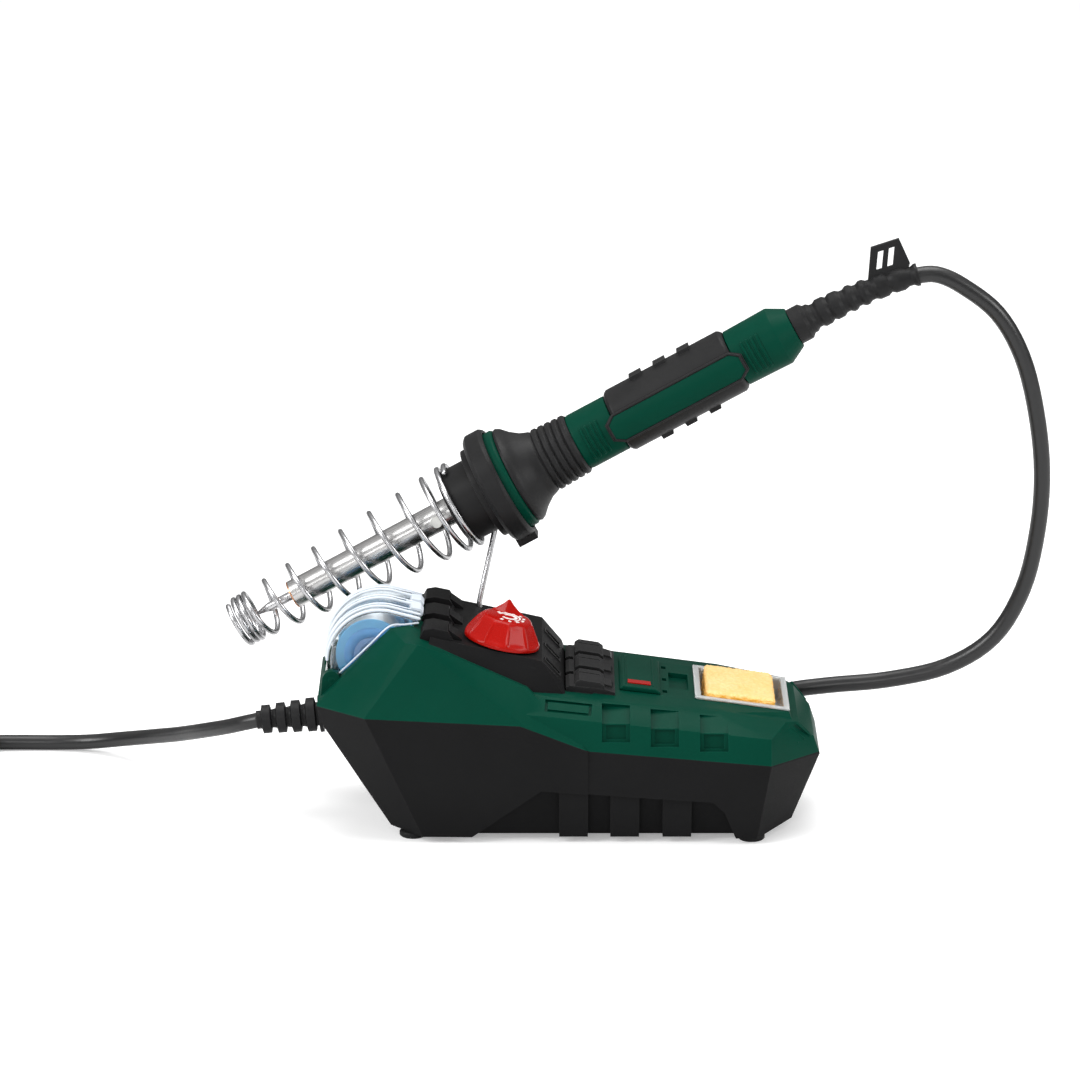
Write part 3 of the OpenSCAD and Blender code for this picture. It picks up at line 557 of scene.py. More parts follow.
def grain_effect() -> Effect:
    """The fine grain of a moulded surface, with wide faint clouds in its colour."""
    made = Effect(
        "moulded grain",
        {
            "Colour": (Kind.COLOUR, (0.1, 0.1, 0.1, 1)),
            "Grain Size": (Kind.NUMBER, 2200.0),
            "Cloud Size": (Kind.NUMBER, 28.0),
            "Cloud Depth": (Kind.NUMBER, 0.12),
            "Roughness": (Kind.NUMBER, 0.4),
        },
        {"Colour": Kind.COLOUR, "Height": Kind.NUMBER, "Roughness": Kind.NUMBER},
    )
    place = made.place()
    fine = made.clouds(place, made.given("Grain Size"), 3.0, 0.6)
    wide = made.clouds(place, made.given("Cloud Size"), 5.0, 0.55)
    depth = made.math("MULTIPLY", made.remap(wide, 0.3, 0.7, -1.0, 1.0), made.given("Cloud Depth"))
    speck = made.remap(fine, 0.25, 0.75, -0.05, 0.07)
    rough = made.math("ADD", speck, made.given("Roughness"))
    made.give(
        Colour=made.shade(made.given("Colour"), made.math("ADD", depth, 1.0)),
        Height=fine,
        Roughness=made.math("MULTIPLY_ADD", depth, 0.25, rough),
    )
    return made


def dust_effect() -> Effect:
    """A thin film of dust on what faces up, in patches."""
    made = Effect(
        "dust film",
        {
            "Colour": (Kind.COLOUR, (0.1, 0.1, 0.1, 1)),
            "Roughness": (Kind.NUMBER, 0.4),
            "Amount": (Kind.NUMBER, 0.1),
        },
        {"Colour": Kind.COLOUR, "Roughness": Kind.NUMBER},
    )
    up = made.remap(made.upward("Normal"), 0.2, 1.0)
    thin = made.remap(made.clouds(made.place(), 60.0, 8.0, 0.75), 0.4, 0.75)
    mask = made.math(
        "MULTIPLY", made.math("MULTIPLY", up, thin), made.given("Amount"), clamp=True
    )
    dull = made.add("Mix", data_type="FLOAT")
    dull.inputs[3].default_value = 0.85
    made.link(mask, dull.inputs["Factor"])
    made.link(made.given("Roughness"), dull.inputs[2])
    made.give(
        Colour=made.mix(mask, made.given("Colour"), (0.52, 0.5, 0.46, 1)),
        Roughness=dull.outputs[0],
    )
    return made


def brushed_effect() -> Effect:
    """Fine drawn lines along the local X, Y or Z axis of a metal piece."""
    made = Effect(
        "drawn metal",
        {
            "Colour": (Kind.COLOUR, (0.6, 0.6, 0.6, 1)),
            "Stretch": (Kind.DIRECTION, (1.0, 1.0, 0.02)),
            "Turn": (Kind.DIRECTION, (0.0, 0.0, 0.0)),
            "Roughness": (Kind.NUMBER, 0.2),
            "Spread": (Kind.NUMBER, 0.1),
        },
        {"Colour": Kind.COLOUR, "Height": Kind.NUMBER, "Roughness": Kind.NUMBER},
    )
    place = made.place()
    turned = made.add("VectorRotate", rotation_type="EULER_XYZ")
    made.link(place, turned.inputs["Vector"])
    made.link(made.given("Turn"), turned.inputs["Rotation"])
    long = made.add("VectorMath", operation="MULTIPLY")
    made.link(turned.outputs["Vector"], long.inputs[0])
    made.link(made.given("Stretch"), long.inputs[1])
    lines = made.clouds(long.outputs["Vector"], 3200.0, 4.0, 0.7)
    swing = made.remap(lines, 0.3, 0.7, -1.0, 1.0)
    stains = made.remap(made.clouds(place, 140.0, 6.0, 0.7), 0.3, 0.7, 0.86, 1.06)
    made.give(
        Colour=made.shade(made.given("Colour"), stains),
        Height=lines,
        Roughness=made.math(
            "MULTIPLY_ADD", swing, made.given("Spread"), made.given("Roughness"), clamp=True
        ),
    )
    return made


# ---------------------------------------------------------------- finishes


@dataclass
class Effects:
    """The shader groups that the finishes share."""

    wear: Effect = field(default_factory=edge_wear_and_highlight_effect)
    grain: Effect = field(default_factory=grain_effect)
    dust: Effect = field(default_factory=dust_effect)
    drawn: Effect = field(default_factory=brushed_effect)


EFFECTS = Effects()


@dataclass
class Surface(Graph):
    """A new material with one Principled shader."""

    name: str
    material: Material = field(init=False)
    tree: bpy.types.NodeTree = field(init=False)
    shader: bpy.types.Node = field(init=False)

    def __post_init__(self) -> None:
        """Makes the material."""
        self.material = bpy.data.materials.new(self.name)
        self.material.use_nodes = True
        self.tree = self.material.node_tree
        self.shader = self.tree.nodes["Principled BSDF"]

    def effect(self, effect: Effect, **values: object) -> bpy.types.Node:
        """Places a shader group, with this material's own values.

        Args:
            effect: the group.
            values: its inputs, with underscores for spaces.

        Returns:
            The group's node.
        """
        made = self.tree.nodes.new("ShaderNodeGroup")
        made.node_tree = effect.tree
        for key, value in values.items():
            made.inputs[key.replace("_", " ")].default_value = value
        return made

    def set(self, **values: Term | tuple[float, ...]) -> None:
        """Sets or links the shader's inputs of those names, with underscores for spaces."""
        for key, value in values.items():
            self.feed(value, self.shader.inputs[key.replace("_", " ")])

    def bump(self, height: Socket, depth_mm: float, strength: float = 1.0) -> None:
        """Feeds a height to the shader's normal.

        Args:
            height: a height from 0 to 1.
            depth_mm: how deep the relief is, in millimetres.
            strength: how much of the relief is used.
        """
        bump = self.add("Bump", _Strength=strength, _Distance=depth_mm * MM)
        self.link(height, bump.inputs["Height"])
        self.set(Normal=bump.outputs["Normal"])


@dataclass(frozen=True)
class MouldedPlastic:
    """An opaque moulded plastic or rubber with grain, paler edges that are painted highlight in
    scuffed patches, and a little dust.
    """

    name: str
    colour: Colour
    rubbed_and_highlit: Colour
    roughness: float
    wear: float = 0.5
    grain_size: float = 2200.0
    grain_depth: float = 0.03
    clouds: float = 0.12
    dust: float = 0.12
    gloss: float = 0.5
    coat: float = 0.0

    def build(self) -> Material:
        """Makes the material."""
        made = Surface(self.name)
        grain = made.effect(
            EFFECTS.grain,
            Colour=rgba(self.colour),
            Grain_Size=self.grain_size,
            Cloud_Depth=self.clouds,
            Roughness=self.roughness,
        )
        # The edges take the second colour: painted highlight, in scuffed patches.
        wear = made.effect(EFFECTS.wear, Rubbed_Colour=rgba(self.rubbed_and_highlit), Amount=self.wear)
        dust = made.effect(EFFECTS.dust, Amount=self.dust)
        made.link(grain.outputs["Colour"], wear.inputs["Colour"])
        made.link(wear.outputs["Colour"], dust.inputs["Colour"])
        made.link(grain.outputs["Roughness"], dust.inputs["Roughness"])
        made.set(
            Base_Color=dust.outputs["Colour"],
            Roughness=dust.outputs["Roughness"],
            Specular_IOR_Level=self.gloss,
            Coat_Weight=self.coat,
            Coat_Roughness=0.12,
        )
        made.bump(grain.outputs["Height"], self.grain_depth)
        return made.material


class Draw(Enum):
    """The direction of a metal's fine lines."""

    ALONG_IRON = ((1.0, 1.0, 0.015), (0.0, -math.radians(90 - IRON_TILT), 0.0))
    ROUND_IRON = ((0.05, 0.05, 1.0), (0.0, -math.radians(90 - IRON_TILT), 0.0))
    NONE = ((0.3, 0.3, 0.3), (0.0, 0.0, 0.0))


@dataclass(frozen=True)
class Metal:
    """A plated or bare metal with fine lines and faint stains."""

    name: str
    colour: Colour
    roughness: float
    spread: float = 0.06
    draw: Draw = Draw.NONE
    line_depth: float = 0.01

    def build(self) -> Material:
        """Makes the material."""
        made = Surface(self.name)
        stretch, turn = self.draw.value
        lines = made.effect(
            EFFECTS.drawn,
            Colour=rgba(self.colour),
            Stretch=stretch,
            Turn=turn,
            Roughness=self.roughness,
            Spread=self.spread,
        )
        made.set(
            Base_Color=lines.outputs["Colour"],
            Roughness=lines.outputs["Roughness"],
            Metallic=1.0,
        )
        made.bump(lines.outputs["Height"], self.line_depth, 0.6)
        return made.material


@dataclass(frozen=True)
class ClearPlastic:
    """A clear or milky moulded plastic, a little scuffed."""

    name: str
    colour: Colour
    roughness: float
    transmission: float
    ior: float = 1.35

    def build(self) -> Material:
        """Makes the material."""
        made = Surface(self.name)
        grain = made.effect(
            EFFECTS.grain,
            Colour=rgba(self.colour),
            Grain_Size=900.0,
            Cloud_Size=60.0,
            Cloud_Depth=0.03,
            Roughness=self.roughness,
        )
        made.set(
            Base_Color=grain.outputs["Colour"],
            Roughness=grain.outputs["Roughness"],
            Transmission_Weight=self.transmission,
            IOR=self.ior,
        )
        made.bump(grain.outputs["Height"], 0.01, 0.3)
        return made.material


@dataclass(frozen=True)
class CelluloseSponge:
    """A damp-tray sponge: pores in two sizes, with painted shade in their depths and painted light
    on the faces that point up.
    """

    name: str
    pale: Colour
    deep: Colour

    def build(self) -> Material:
        """Makes the material."""
        made = Surface(self.name)
        place = made.place()
        pores = made.add("TexVoronoi", feature="SMOOTH_F1", _Scale=620.0, _Smoothness=0.4)
        made.link(place, pores.inputs["Vector"])
        small = made.clouds(place, 1500.0, 5.0, 0.7)
        height = made.math("MULTIPLY_ADD", pores.outputs["Distance"], -0.8, small)
        # Painted light and shade: faces that point up are paler, and the pores' depths are darker.
        up = made.remap(made.upward("True Normal"), -0.1, 0.75, -0.1, 0.75)
        pale = made.math("MULTIPLY_ADD", made.remap(height, 0.0, 0.55), 0.3, up)
        swing = made.remap(made.clouds(place, 90.0, 5.0, 0.6), 0.35, 0.65, -0.25, 0.15)
        drift = made.math("MULTIPLY_ADD", swing, 0.5, pale, clamp=True)
        made.set(
            Base_Color=made.mix(drift, rgba(self.deep), rgba(self.pale)),
            Roughness=0.95,
            Specular_IOR_Level=0.2,
            Subsurface_Weight=0.15,
            Subsurface_Radius=(0.003, 0.002, 0.001),
        )
        made.bump(height, 0.35)
        return made.material


def made_of(finish: MouldedPlastic | Metal | ClearPlastic | CelluloseSponge) -> Material:
    """A dataclass field whose material is built when the station's finishes are made."""
    return field(default_factory=finish.build)


@dataclass
class Finishes:
    """Every material of the station, by the piece's own kind of surface."""

    # The second colour of each plastic is the paler colour of its edges: painted highlight, in
    # scuffed patches.
    green: Material = made_of(MouldedPlastic(
        "deep green plastic", (0.0, 0.039, 0.0232), (0.002, 0.09, 0.058), 0.42, wear=0.35,
        grain_depth=0.01, clouds=0.08, dust=0.008, gloss=0.05,
    ))
    black: Material = made_of(MouldedPlastic(
        "black housing plastic", (0.008, 0.008, 0.0083), (0.03, 0.03, 0.03), 0.5, wear=0.35,
        grain_depth=0.02, dust=0.012, gloss=0.06,
    ))
    charcoal: Material = made_of(MouldedPlastic(
        "charcoal plastic", (0.0135, 0.0135, 0.014), (0.075, 0.075, 0.075), 0.42, wear=0.6,
        grain_depth=0.015, dust=0.012, gloss=0.11,
    ))
    grip: Material = made_of(MouldedPlastic(
        "soft grip", (0.0105, 0.0105, 0.011), (0.045, 0.045, 0.045), 0.45, wear=0.45,
        grain_size=1500.0, grain_depth=0.02, dust=0.015, gloss=0.17,
    ))
    rubber: Material = made_of(MouldedPlastic(
        "relief rubber", (0.009, 0.009, 0.0095), (0.035, 0.035, 0.035), 0.48, wear=0.3,
        grain_depth=0.02, dust=0.02, gloss=0.2,
    ))
    cord: Material = made_of(MouldedPlastic(
        "cord covering", (0.008, 0.008, 0.0085), (0.02, 0.02, 0.02), 0.34, wear=0.0,
        grain_size=900.0, grain_depth=0.012, dust=0.04, gloss=0.5,
    ))
    red: Material = made_of(MouldedPlastic(
        "glossy red plastic", (0.33, 0.004, 0.0018), (0.55, 0.03, 0.015), 0.24, wear=0.35,
        grain_depth=0.003, clouds=0.06, dust=0.005, gloss=0.12, coat=0.05,
    ))
    white_print: Material = made_of(MouldedPlastic(
        "white print", (0.78, 0.78, 0.76), (0.6, 0.6, 0.6), 0.45, wear=0.2, dust=0.1,
    ))
    blue: Material = made_of(MouldedPlastic(
        "reel blue plastic", (0.13, 0.42, 0.68), (0.35, 0.6, 0.8), 0.35, wear=0.3,
        grain_depth=0.01, dust=0.03,
    ))
    hub_blue: Material = made_of(MouldedPlastic(
        "hub blue plastic", (0.12, 0.25, 0.48), (0.3, 0.5, 0.75), 0.35, wear=0.3,
        grain_depth=0.01, dust=0.03,
    ))
    mid_blue: Material = made_of(MouldedPlastic(
        "mid blue plastic", (0.09, 0.33, 0.66), (0.3, 0.55, 0.8), 0.35, wear=0.3,
        grain_depth=0.01, dust=0.03,
    ))
    clear_lid: Material = made_of(ClearPlastic("clear lid plastic", (0.93, 0.97, 1.0), 0.1, 1.0))
    # Painted highlight on the lid's rim lines; the ribs are milky plastic.
    lid_ribs_and_rim_highlight: Material = made_of(ClearPlastic("milky rim plastic", (0.74, 0.8, 0.87), 0.42, 0.12))
    tray: Material = made_of(ClearPlastic("tray plastic", (0.86, 0.88, 0.88), 0.2, 0.55))
    # The sponge's two colours are mixed by painted light on its top and painted shade in its pores.
    sponge: Material = made_of(
        CelluloseSponge("cellulose sponge", (0.94, 0.67, 0.32), (0.86, 0.42, 0.05))
    )
    wire: Material = made_of(
        Metal("bright spring wire", (0.5, 0.5, 0.51), 0.27, 0.01, line_depth=0.0)
    )
    barrel: Material = made_of(
        Metal("drawn barrel steel", (0.56, 0.555, 0.55), 0.27, 0.02, Draw.ALONG_IRON, 0.001)
    )
    copper: Material = made_of(Metal("copper ring", (0.78, 0.38, 0.2), 0.3, 0.1, Draw.ROUND_IRON))
    tip: Material = made_of(Metal("plated tip", (0.6, 0.6, 0.61), 0.24, 0.12))
    zinc: Material = made_of(Metal("zinc plate", (0.62, 0.62, 0.6), 0.35, 0.12))
    solder: Material = made_of(Metal("solder wire", (0.6, 0.61, 0.62), 0.38, 0.08))
    aluminium: Material = made_of(Metal("extruded aluminium", (0.7, 0.7, 0.71), 0.36, 0.1))
    nickel: Material = made_of(Metal("nickel pins", (0.7, 0.66, 0.55), 0.22, 0.06))
    board: Material = made_of(MouldedPlastic(
        "circuit board lacquer", (0.01, 0.13, 0.04), (0.2, 0.3, 0.2), 0.3, wear=0.3,
    ))
    ceramic: Material = made_of(
        MouldedPlastic("heater ceramic", (0.75, 0.72, 0.66), (0.8, 0.8, 0.8), 0.6, wear=0.1)
    )
    amber: Material = made_of(
        MouldedPlastic("amber capacitor case", (0.6, 0.26, 0.02), (0.8, 0.5, 0.2), 0.3, wear=0.3)
    )


def dress(piece: bpy.types.Object, *materials: Material) -> None:
    """Gives a piece its materials, the last one to every slot that is left.

    Args:
        piece: the object.
        materials: one material for each of its slots, in order.
    """
    if not piece.material_slots:
        piece.data.materials.append(materials[0])
    for i, slot in enumerate(piece.material_slots):
        slot.material = materials[min(i, len(materials) - 1)]


def dress_carried(*rows: tuple[str, Material, float]) -> None:
    """Dresses the carried pieces of one sub-assembly.

    Args:
        rows: the names of the pieces, their material and the width of their rounded edges in
            millimetres, or 0 for edges that stay sharp.
    """
    for names, material, width in rows:
        for name in names.split():
            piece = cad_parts[name]
            dress(piece, material)
            if width:
                soften_edges(piece, width)


# ---------------------------------------------------------------- stage


@dataclass
class Studio:
    """The pale floor, the soft lights and the camera."""

    elevation: float = 15.0
    look_at: tuple[float, float, float] = (-11.15, 0.0, 109.6)
    distance: float = 2310.0
    lens: float = 200.0
    floor_side_m: float = 9.0
    floor_glow: float = 0.32
    boxes: tuple[tuple[str, tuple[float, float, float], float, float], ...] = (
        ("left light", (-1.5, -0.8, 1.0), 0.9, 25.0),
        ("right light", (1.5, -0.6, 0.8), 0.7, 12.0),
        ("top light", (0.1, 0.2, 1.8), 1.2, 22.0),
        ("front light", (-0.4, -1.9, 0.7), 0.5, 6.0),
    )

    def build(self) -> None:
        """Makes the stage."""
        self.add_camera()
        self.add_floor()
        self.add_lights()

    def add_camera(self) -> None:
        """Stands the camera in front of the station, a little above it."""
        data = bpy.data.cameras.new("camera")
        data.lens = self.lens
        data.sensor_width = 36.0
        data.clip_start, data.clip_end = 0.05, 50.0
        camera = bpy.data.objects.new("camera", data)
        bpy.context.scene.collection.objects.link(camera)
        up = math.radians(self.elevation)
        back = Vector((0.0, -math.cos(up), math.sin(up)))
        camera.location = vec(*self.look_at) + back * self.distance * MM
        camera.rotation_mode = "QUATERNION"
        camera.rotation_quaternion = (-back).to_track_quat("-Z", "Y")
        bpy.context.scene.camera = camera

    def add_floor(self) -> None:
        """Lays a wide pale floor."""
        side = self.floor_side_m
        signs = ((-1, -1), (1, -1), (1, 1), (-1, 1))
        corners = [Vector((x * side, y * side, 0)) for x, y in signs]
        floor = mesh_object("floor", corners, [(0, 1, 2, 3)])
        made = Surface("pale floor")
        seen = made.add("LightPath").outputs["Is Camera Ray"]
        made.set(
            Base_Color=(0.86, 0.86, 0.86, 1),
            Roughness=0.9,
            Specular_IOR_Level=0.1,
            Emission_Color=(1, 1, 1, 1),
            Emission_Strength=made.math("MULTIPLY", seen, self.floor_glow),
        )
        floor.data.materials.append(made.material)

    def add_lights(self) -> None:
        """Hangs large soft lights round the station, in a room that is darker near the floor."""
        world = bpy.data.worlds.new("studio")
        world.use_nodes = True
        sky = Graph()
        sky.tree = world.node_tree
        room = sky.tree.nodes["Background"]
        room.inputs["Strength"].default_value = 1.0
        apart = sky.add("SeparateXYZ")
        sky.link(sky.add("TexCoord").outputs["Generated"], apart.inputs[0])
        rise = sky.add("ValToRGB")
        rise.color_ramp.elements[0].position = 0.5
        rise.color_ramp.elements[0].color = (0.1, 0.1, 0.1, 1)
        rise.color_ramp.elements[1].position = 0.95
        rise.color_ramp.elements[1].color = (0.7, 0.7, 0.7, 1)
        sky.link(sky.remap(apart.outputs["Z"], -1.0, 1.0), rise.inputs["Fac"])
        seen = sky.add("LightPath").outputs["Is Camera Ray"]
        sky.link(sky.mix(seen, rise.outputs["Color"], (1, 1, 1, 1)), room.inputs["Color"])
        bpy.context.scene.world = world
        bpy.context.scene.view_settings.view_transform = "Standard"
        for name, at, size, power in self.boxes:
            self.soft_box(name, at, size, power)

    def soft_box(
        self, name: str, at: tuple[float, float, float], size: float, power: float
    ) -> None:
        """Hangs one square soft light that faces the station.

        Args:
            name: the light's name.
            at: where it hangs, in metres.
            size: the length of its side, in metres.
            power: its power in watts.
        """
        data = bpy.data.lights.new(name, "AREA")
        data.size = size
        data.energy = power
        light = bpy.data.objects.new(name, data)
        bpy.context.scene.collection.objects.link(light)
        light.location = at
        light.rotation_mode = "QUATERNION"
        light.rotation_quaternion = (Vector((0, 0, 0.1)) - Vector(at)).to_track_quat("-Z", "Y")


# ---------------------------------------------------------------- cords


def coil_turns(
    centre: Vector,
    lanes: list[tuple[float, float]],
    start: float,
    turns: float,
    drift: float = 0.32,
) -> list[Vector]:
    """Winds a flat coil, lane after lane, anticlockwise as seen from above.

    Args:
        centre: the coil's centre on the table, in metres.
        lanes: radius and height of each lane in millimetres, in the order they are wound.
        start: the angle at which the first lane starts, in degrees.
        turns: how many turns there are in all.
        drift: the share of a turn in which the cord moves over to the next lane.

    Returns:
        The cord's centre line.
    """
    steps = 40
    line: list[Vector] = []
    for i in range(int(turns * steps) + 1):
        t = i / steps
        lane = min(int(t), len(lanes) - 1)
        radius, height = lanes[lane]
        into = t - lane - (1 - drift)
        if into > 0 and lane + 1 < len(lanes):
            k = into / drift
            k = k * k * (3 - 2 * k)
            radius += (lanes[lane + 1][0] - radius) * k
            height += (lanes[lane + 1][1] - height) * k
        a = math.radians(start) + 2 * math.pi * t
        line.append(centre + vec(radius * math.cos(a), radius * math.sin(a), height))
    return line


def line_length(line: list[Vector]) -> float:
    """The length of a line, in metres."""
    return sum((b - a).length for a, b in zip(line, line[1:]))


@dataclass
class Cords:
    """The iron's lead and the mains cord, each with its coil, its tie and its end."""

    finishes: Finishes
    lead_d: float = 6.6
    mains_d: float = 6.0
    lead_length: float = 1.2
    mains_length: float = 1.5
    lead_centre: Vector = field(default_factory=lambda: vec(2, 106, 0))
    mains_centre: Vector = field(default_factory=lambda: vec(-268, 44, 0))
    tie_d: float = 1.4

    def build(self) -> None:
        """Makes both cords."""
        self.lead()
        self.mains()

    def lead(self) -> None:
        """The lead from the handle, down behind the base, through its coil and into the base."""
        fall = [
            (134, 33, 206.4), (142, 33, 206.9), (152, 33.2, 202.4), (166, 34, 191.2),
            (176, 36, 173.6), (182, 38, 151.2), (185, 40, 126.6), (184, 43, 102.1),
            (179, 46, 77.4), (168, 49, 56.8), (150, 52, 44), (127, 55, 37.6), (104, 58, 34.4),
            (88, 60, 31.6), (72, 64, 26), (58, 73, 19), (49, 84, 13.4), (44.2, 95, 10.6),
        ]
        lanes = [(39.3, 9.9), (32.7, 9.9), (32.7, 3.35), (39.3, 3.35)]
        coil = coil_turns(self.lead_centre, lanes, 2, 3.47)
        rise = [(-37.6, 96, 4.6), (-36.6, 87, 8.4), (-35.2, 78, 13.4), (-34.2, 69, 17.3)]
        line = (
            smooth_line([vec(*p) for p in fall], 5)
            + coil[2:-1]
            + smooth_line([coil[-1], *(vec(*p) for p in rise)], 5)
        )
        piece = tube("iron_lead", line, self.lead_d / 2 * MM, 16, Vector((0, 1, 0)))
        piece.data.materials.append(self.finishes.cord)
        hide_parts("lead_tube", "lead_coil", "lead_tail")
        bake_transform(piece)
        tie = self.tie("lead_tie", self.lead_centre, 36, 90, 9.0, 8.6)
        LOG.info("iron_lead %.3f m", line_length(line))

    def mains(self) -> None:
        """The mains cord from the left end of the base to its coil and plug."""
        out = [
            (-119.6, 0, 37.5), (-126, 3, 35.2), (-133, 10, 31.6), (-143, 24, 25.8),
            (-154, 43, 18.6), (-166, 60, 12.4), (-179, 73, 7.4), (-192, 80, 4.2), (-205, 82.6, 3.1),
            (-219, 83, 3.05), (-232, 83, 3.05), (-246, 83, 3.05), (-258, 83, 3.05),
        ]
        lanes = [(39, 3.05), (33, 3.05), (27, 3.05), (27, 9.1), (33, 9.1), (39, 9.1)]
        coil = coil_turns(self.mains_centre, lanes, 92, 6.24)
        away = [
            (-307.6, 34, 9.1), (-308.6, 22, 8.7), (-309, 13, 8), (-308.4, 5, 7.2), (-308, -2.4, 7),
        ]
        line = (
            smooth_line([vec(*p) for p in out], 5)
            + coil[1:-1]
            + smooth_line([coil[-1], *(vec(*p) for p in away)], 5)
        )
        piece = tube("mains_lead", line, self.mains_d / 2 * MM, 16, Vector((0, 0, 1)))
        piece.data.materials.append(self.finishes.cord)
        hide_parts("mains_cord", "mains_coil", "mains_tail")
        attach(piece, Body.BASE.value)
        tie = self.tie("mains_tie", self.mains_centre, 33, 200, 12.4, 8.4)
        LOG.info("mains_lead %.3f m", line_length(line))

    def tie(
        self, name: str, centre: Vector, ring: float, angle: float, wide: float, high: float
    ) -> bpy.types.Object:
        """A soft wire tie round one side of a coil.

        Args:
            name: the piece's name.
            centre: the coil's centre.
            ring: the mean radius of the coil's turns.
            angle: where round the coil the tie is, in degrees.
            wide: half the width of what it holds.
            high: roughly half the height of what it holds.

        Returns:
            The tie.
        """
        a = math.radians(angle)
        out = Vector((math.cos(a), math.sin(a), 0))
        middle = centre + out * ring * MM + vec(0, 0, high - 1.6)
        loop = []
        squareness, steps = 0.55, 24
        for i in range(steps + 1):
            t = 2 * math.pi * i / steps
            c, s = math.cos(t), math.sin(t)
            c = math.copysign(abs(c) ** squareness, c)
            s = math.copysign(abs(s) ** squareness, s)
            loop.append(middle + out * c * (wide - 2.2) * MM + vec(0, 0, s * (high - 2.4)))
        piece = tube(name, loop, self.tie_d / 2 * MM, 8, Vector((0, 0, 1)))
        piece.data.materials.append(self.finishes.cord)
        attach(piece, Body.BASE.value)
        return piece


# ---------------------------------------------------------------- holder


@dataclass
class Holder:
    """The conical wire spring, its leg, and the collar that the iron rests in."""

    finishes: Finishes
    wire_d: float = 2.2
    turn_at: tuple[float, ...] = (
        -112.4, -110, -107.6, -105, -95, -83.8, -71.6, -58.9, -45.5, -32.2, -21.4, -14.6, -11.8,
    )
    turn_r: tuple[float, ...] = (
        9.2, 9.2, 9.2, 9.4, 10.2, 11.2, 12.2, 13.2, 14.2, 15.2, 16.2, 16.7, 16.7,
    )
    start_angle: float = 200.0

    def build(self) -> None:
        """Makes the wire pieces and dresses the collar."""
        self.spring()
        self.leg()
        dress_carried(("spring_hub holder_collar", self.finishes.charcoal, 0.35))

    def spring(self) -> None:
        """The round wire, in turns that widen towards the collar."""
        steps = 40
        knots = [Vector((p, r, 0)) for p, r in zip(self.turn_at, self.turn_r)]
        line = []
        for i, (along, radius, _) in enumerate(smooth_line(knots, steps)):
            a = math.radians(self.start_angle + 360 * i / steps)
            spot = Vector((radius * math.cos(a), radius * math.sin(a), along))
            line.append(ON_IRON @ (spot * MM))
        piece = tube("holder_wire_spring", line, self.wire_d / 2 * MM, 14, Vector((1, 0, 0)), True)
        piece.data.materials.append(self.finishes.wire)
        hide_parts("holder_spring")
        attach(piece, Body.BASE.value)

    def leg(self) -> None:
        """The wire leg that stands in the control panel's socket."""
        route = [
            (-27.6, 33, 110.4), (-28.4, 32.9, 106.6), (-29.6, 32.2, 101), (-31.6, 30.4, 92),
            (-33.4, 28.6, 84), (-34.6, 27.6, 78.4), (-34.8, 27.3, 75.4), (-34.8, 27.3, 66),
        ]
        line = smooth_line([vec(*p) for p in route], 8)
        piece = tube("holder_wire_leg", line, self.wire_d / 2 * MM, 16, Vector((0, 1, 0)))
        piece.data.materials.append(self.finishes.wire)
        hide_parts("holder_leg")
        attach(piece, Body.BASE.value)


# ---------------------------------------------------------------- iron


def arc_line(
    radius: float, z: float, start: float, end: float, place: Matrix, steps: int = 28
) -> list[Vector]:
    """The points of an arc round a local Z axis.

    Args:
        radius: the arc's radius, in millimetres.
        z: its height along the axis, in millimetres.
        start: the angle where it starts, in degrees.
        end: the angle where it ends.
        place: where the local axes stand in the frame.
        steps: how many pieces it has.

    Returns:
        The points.
    """
    line = []
    for i in range(steps + 1):
        a = math.radians(start + (end - start) * i / steps)
        line.append(place @ (Vector((radius * math.cos(a), radius * math.sin(a), z)) * MM))
    return line


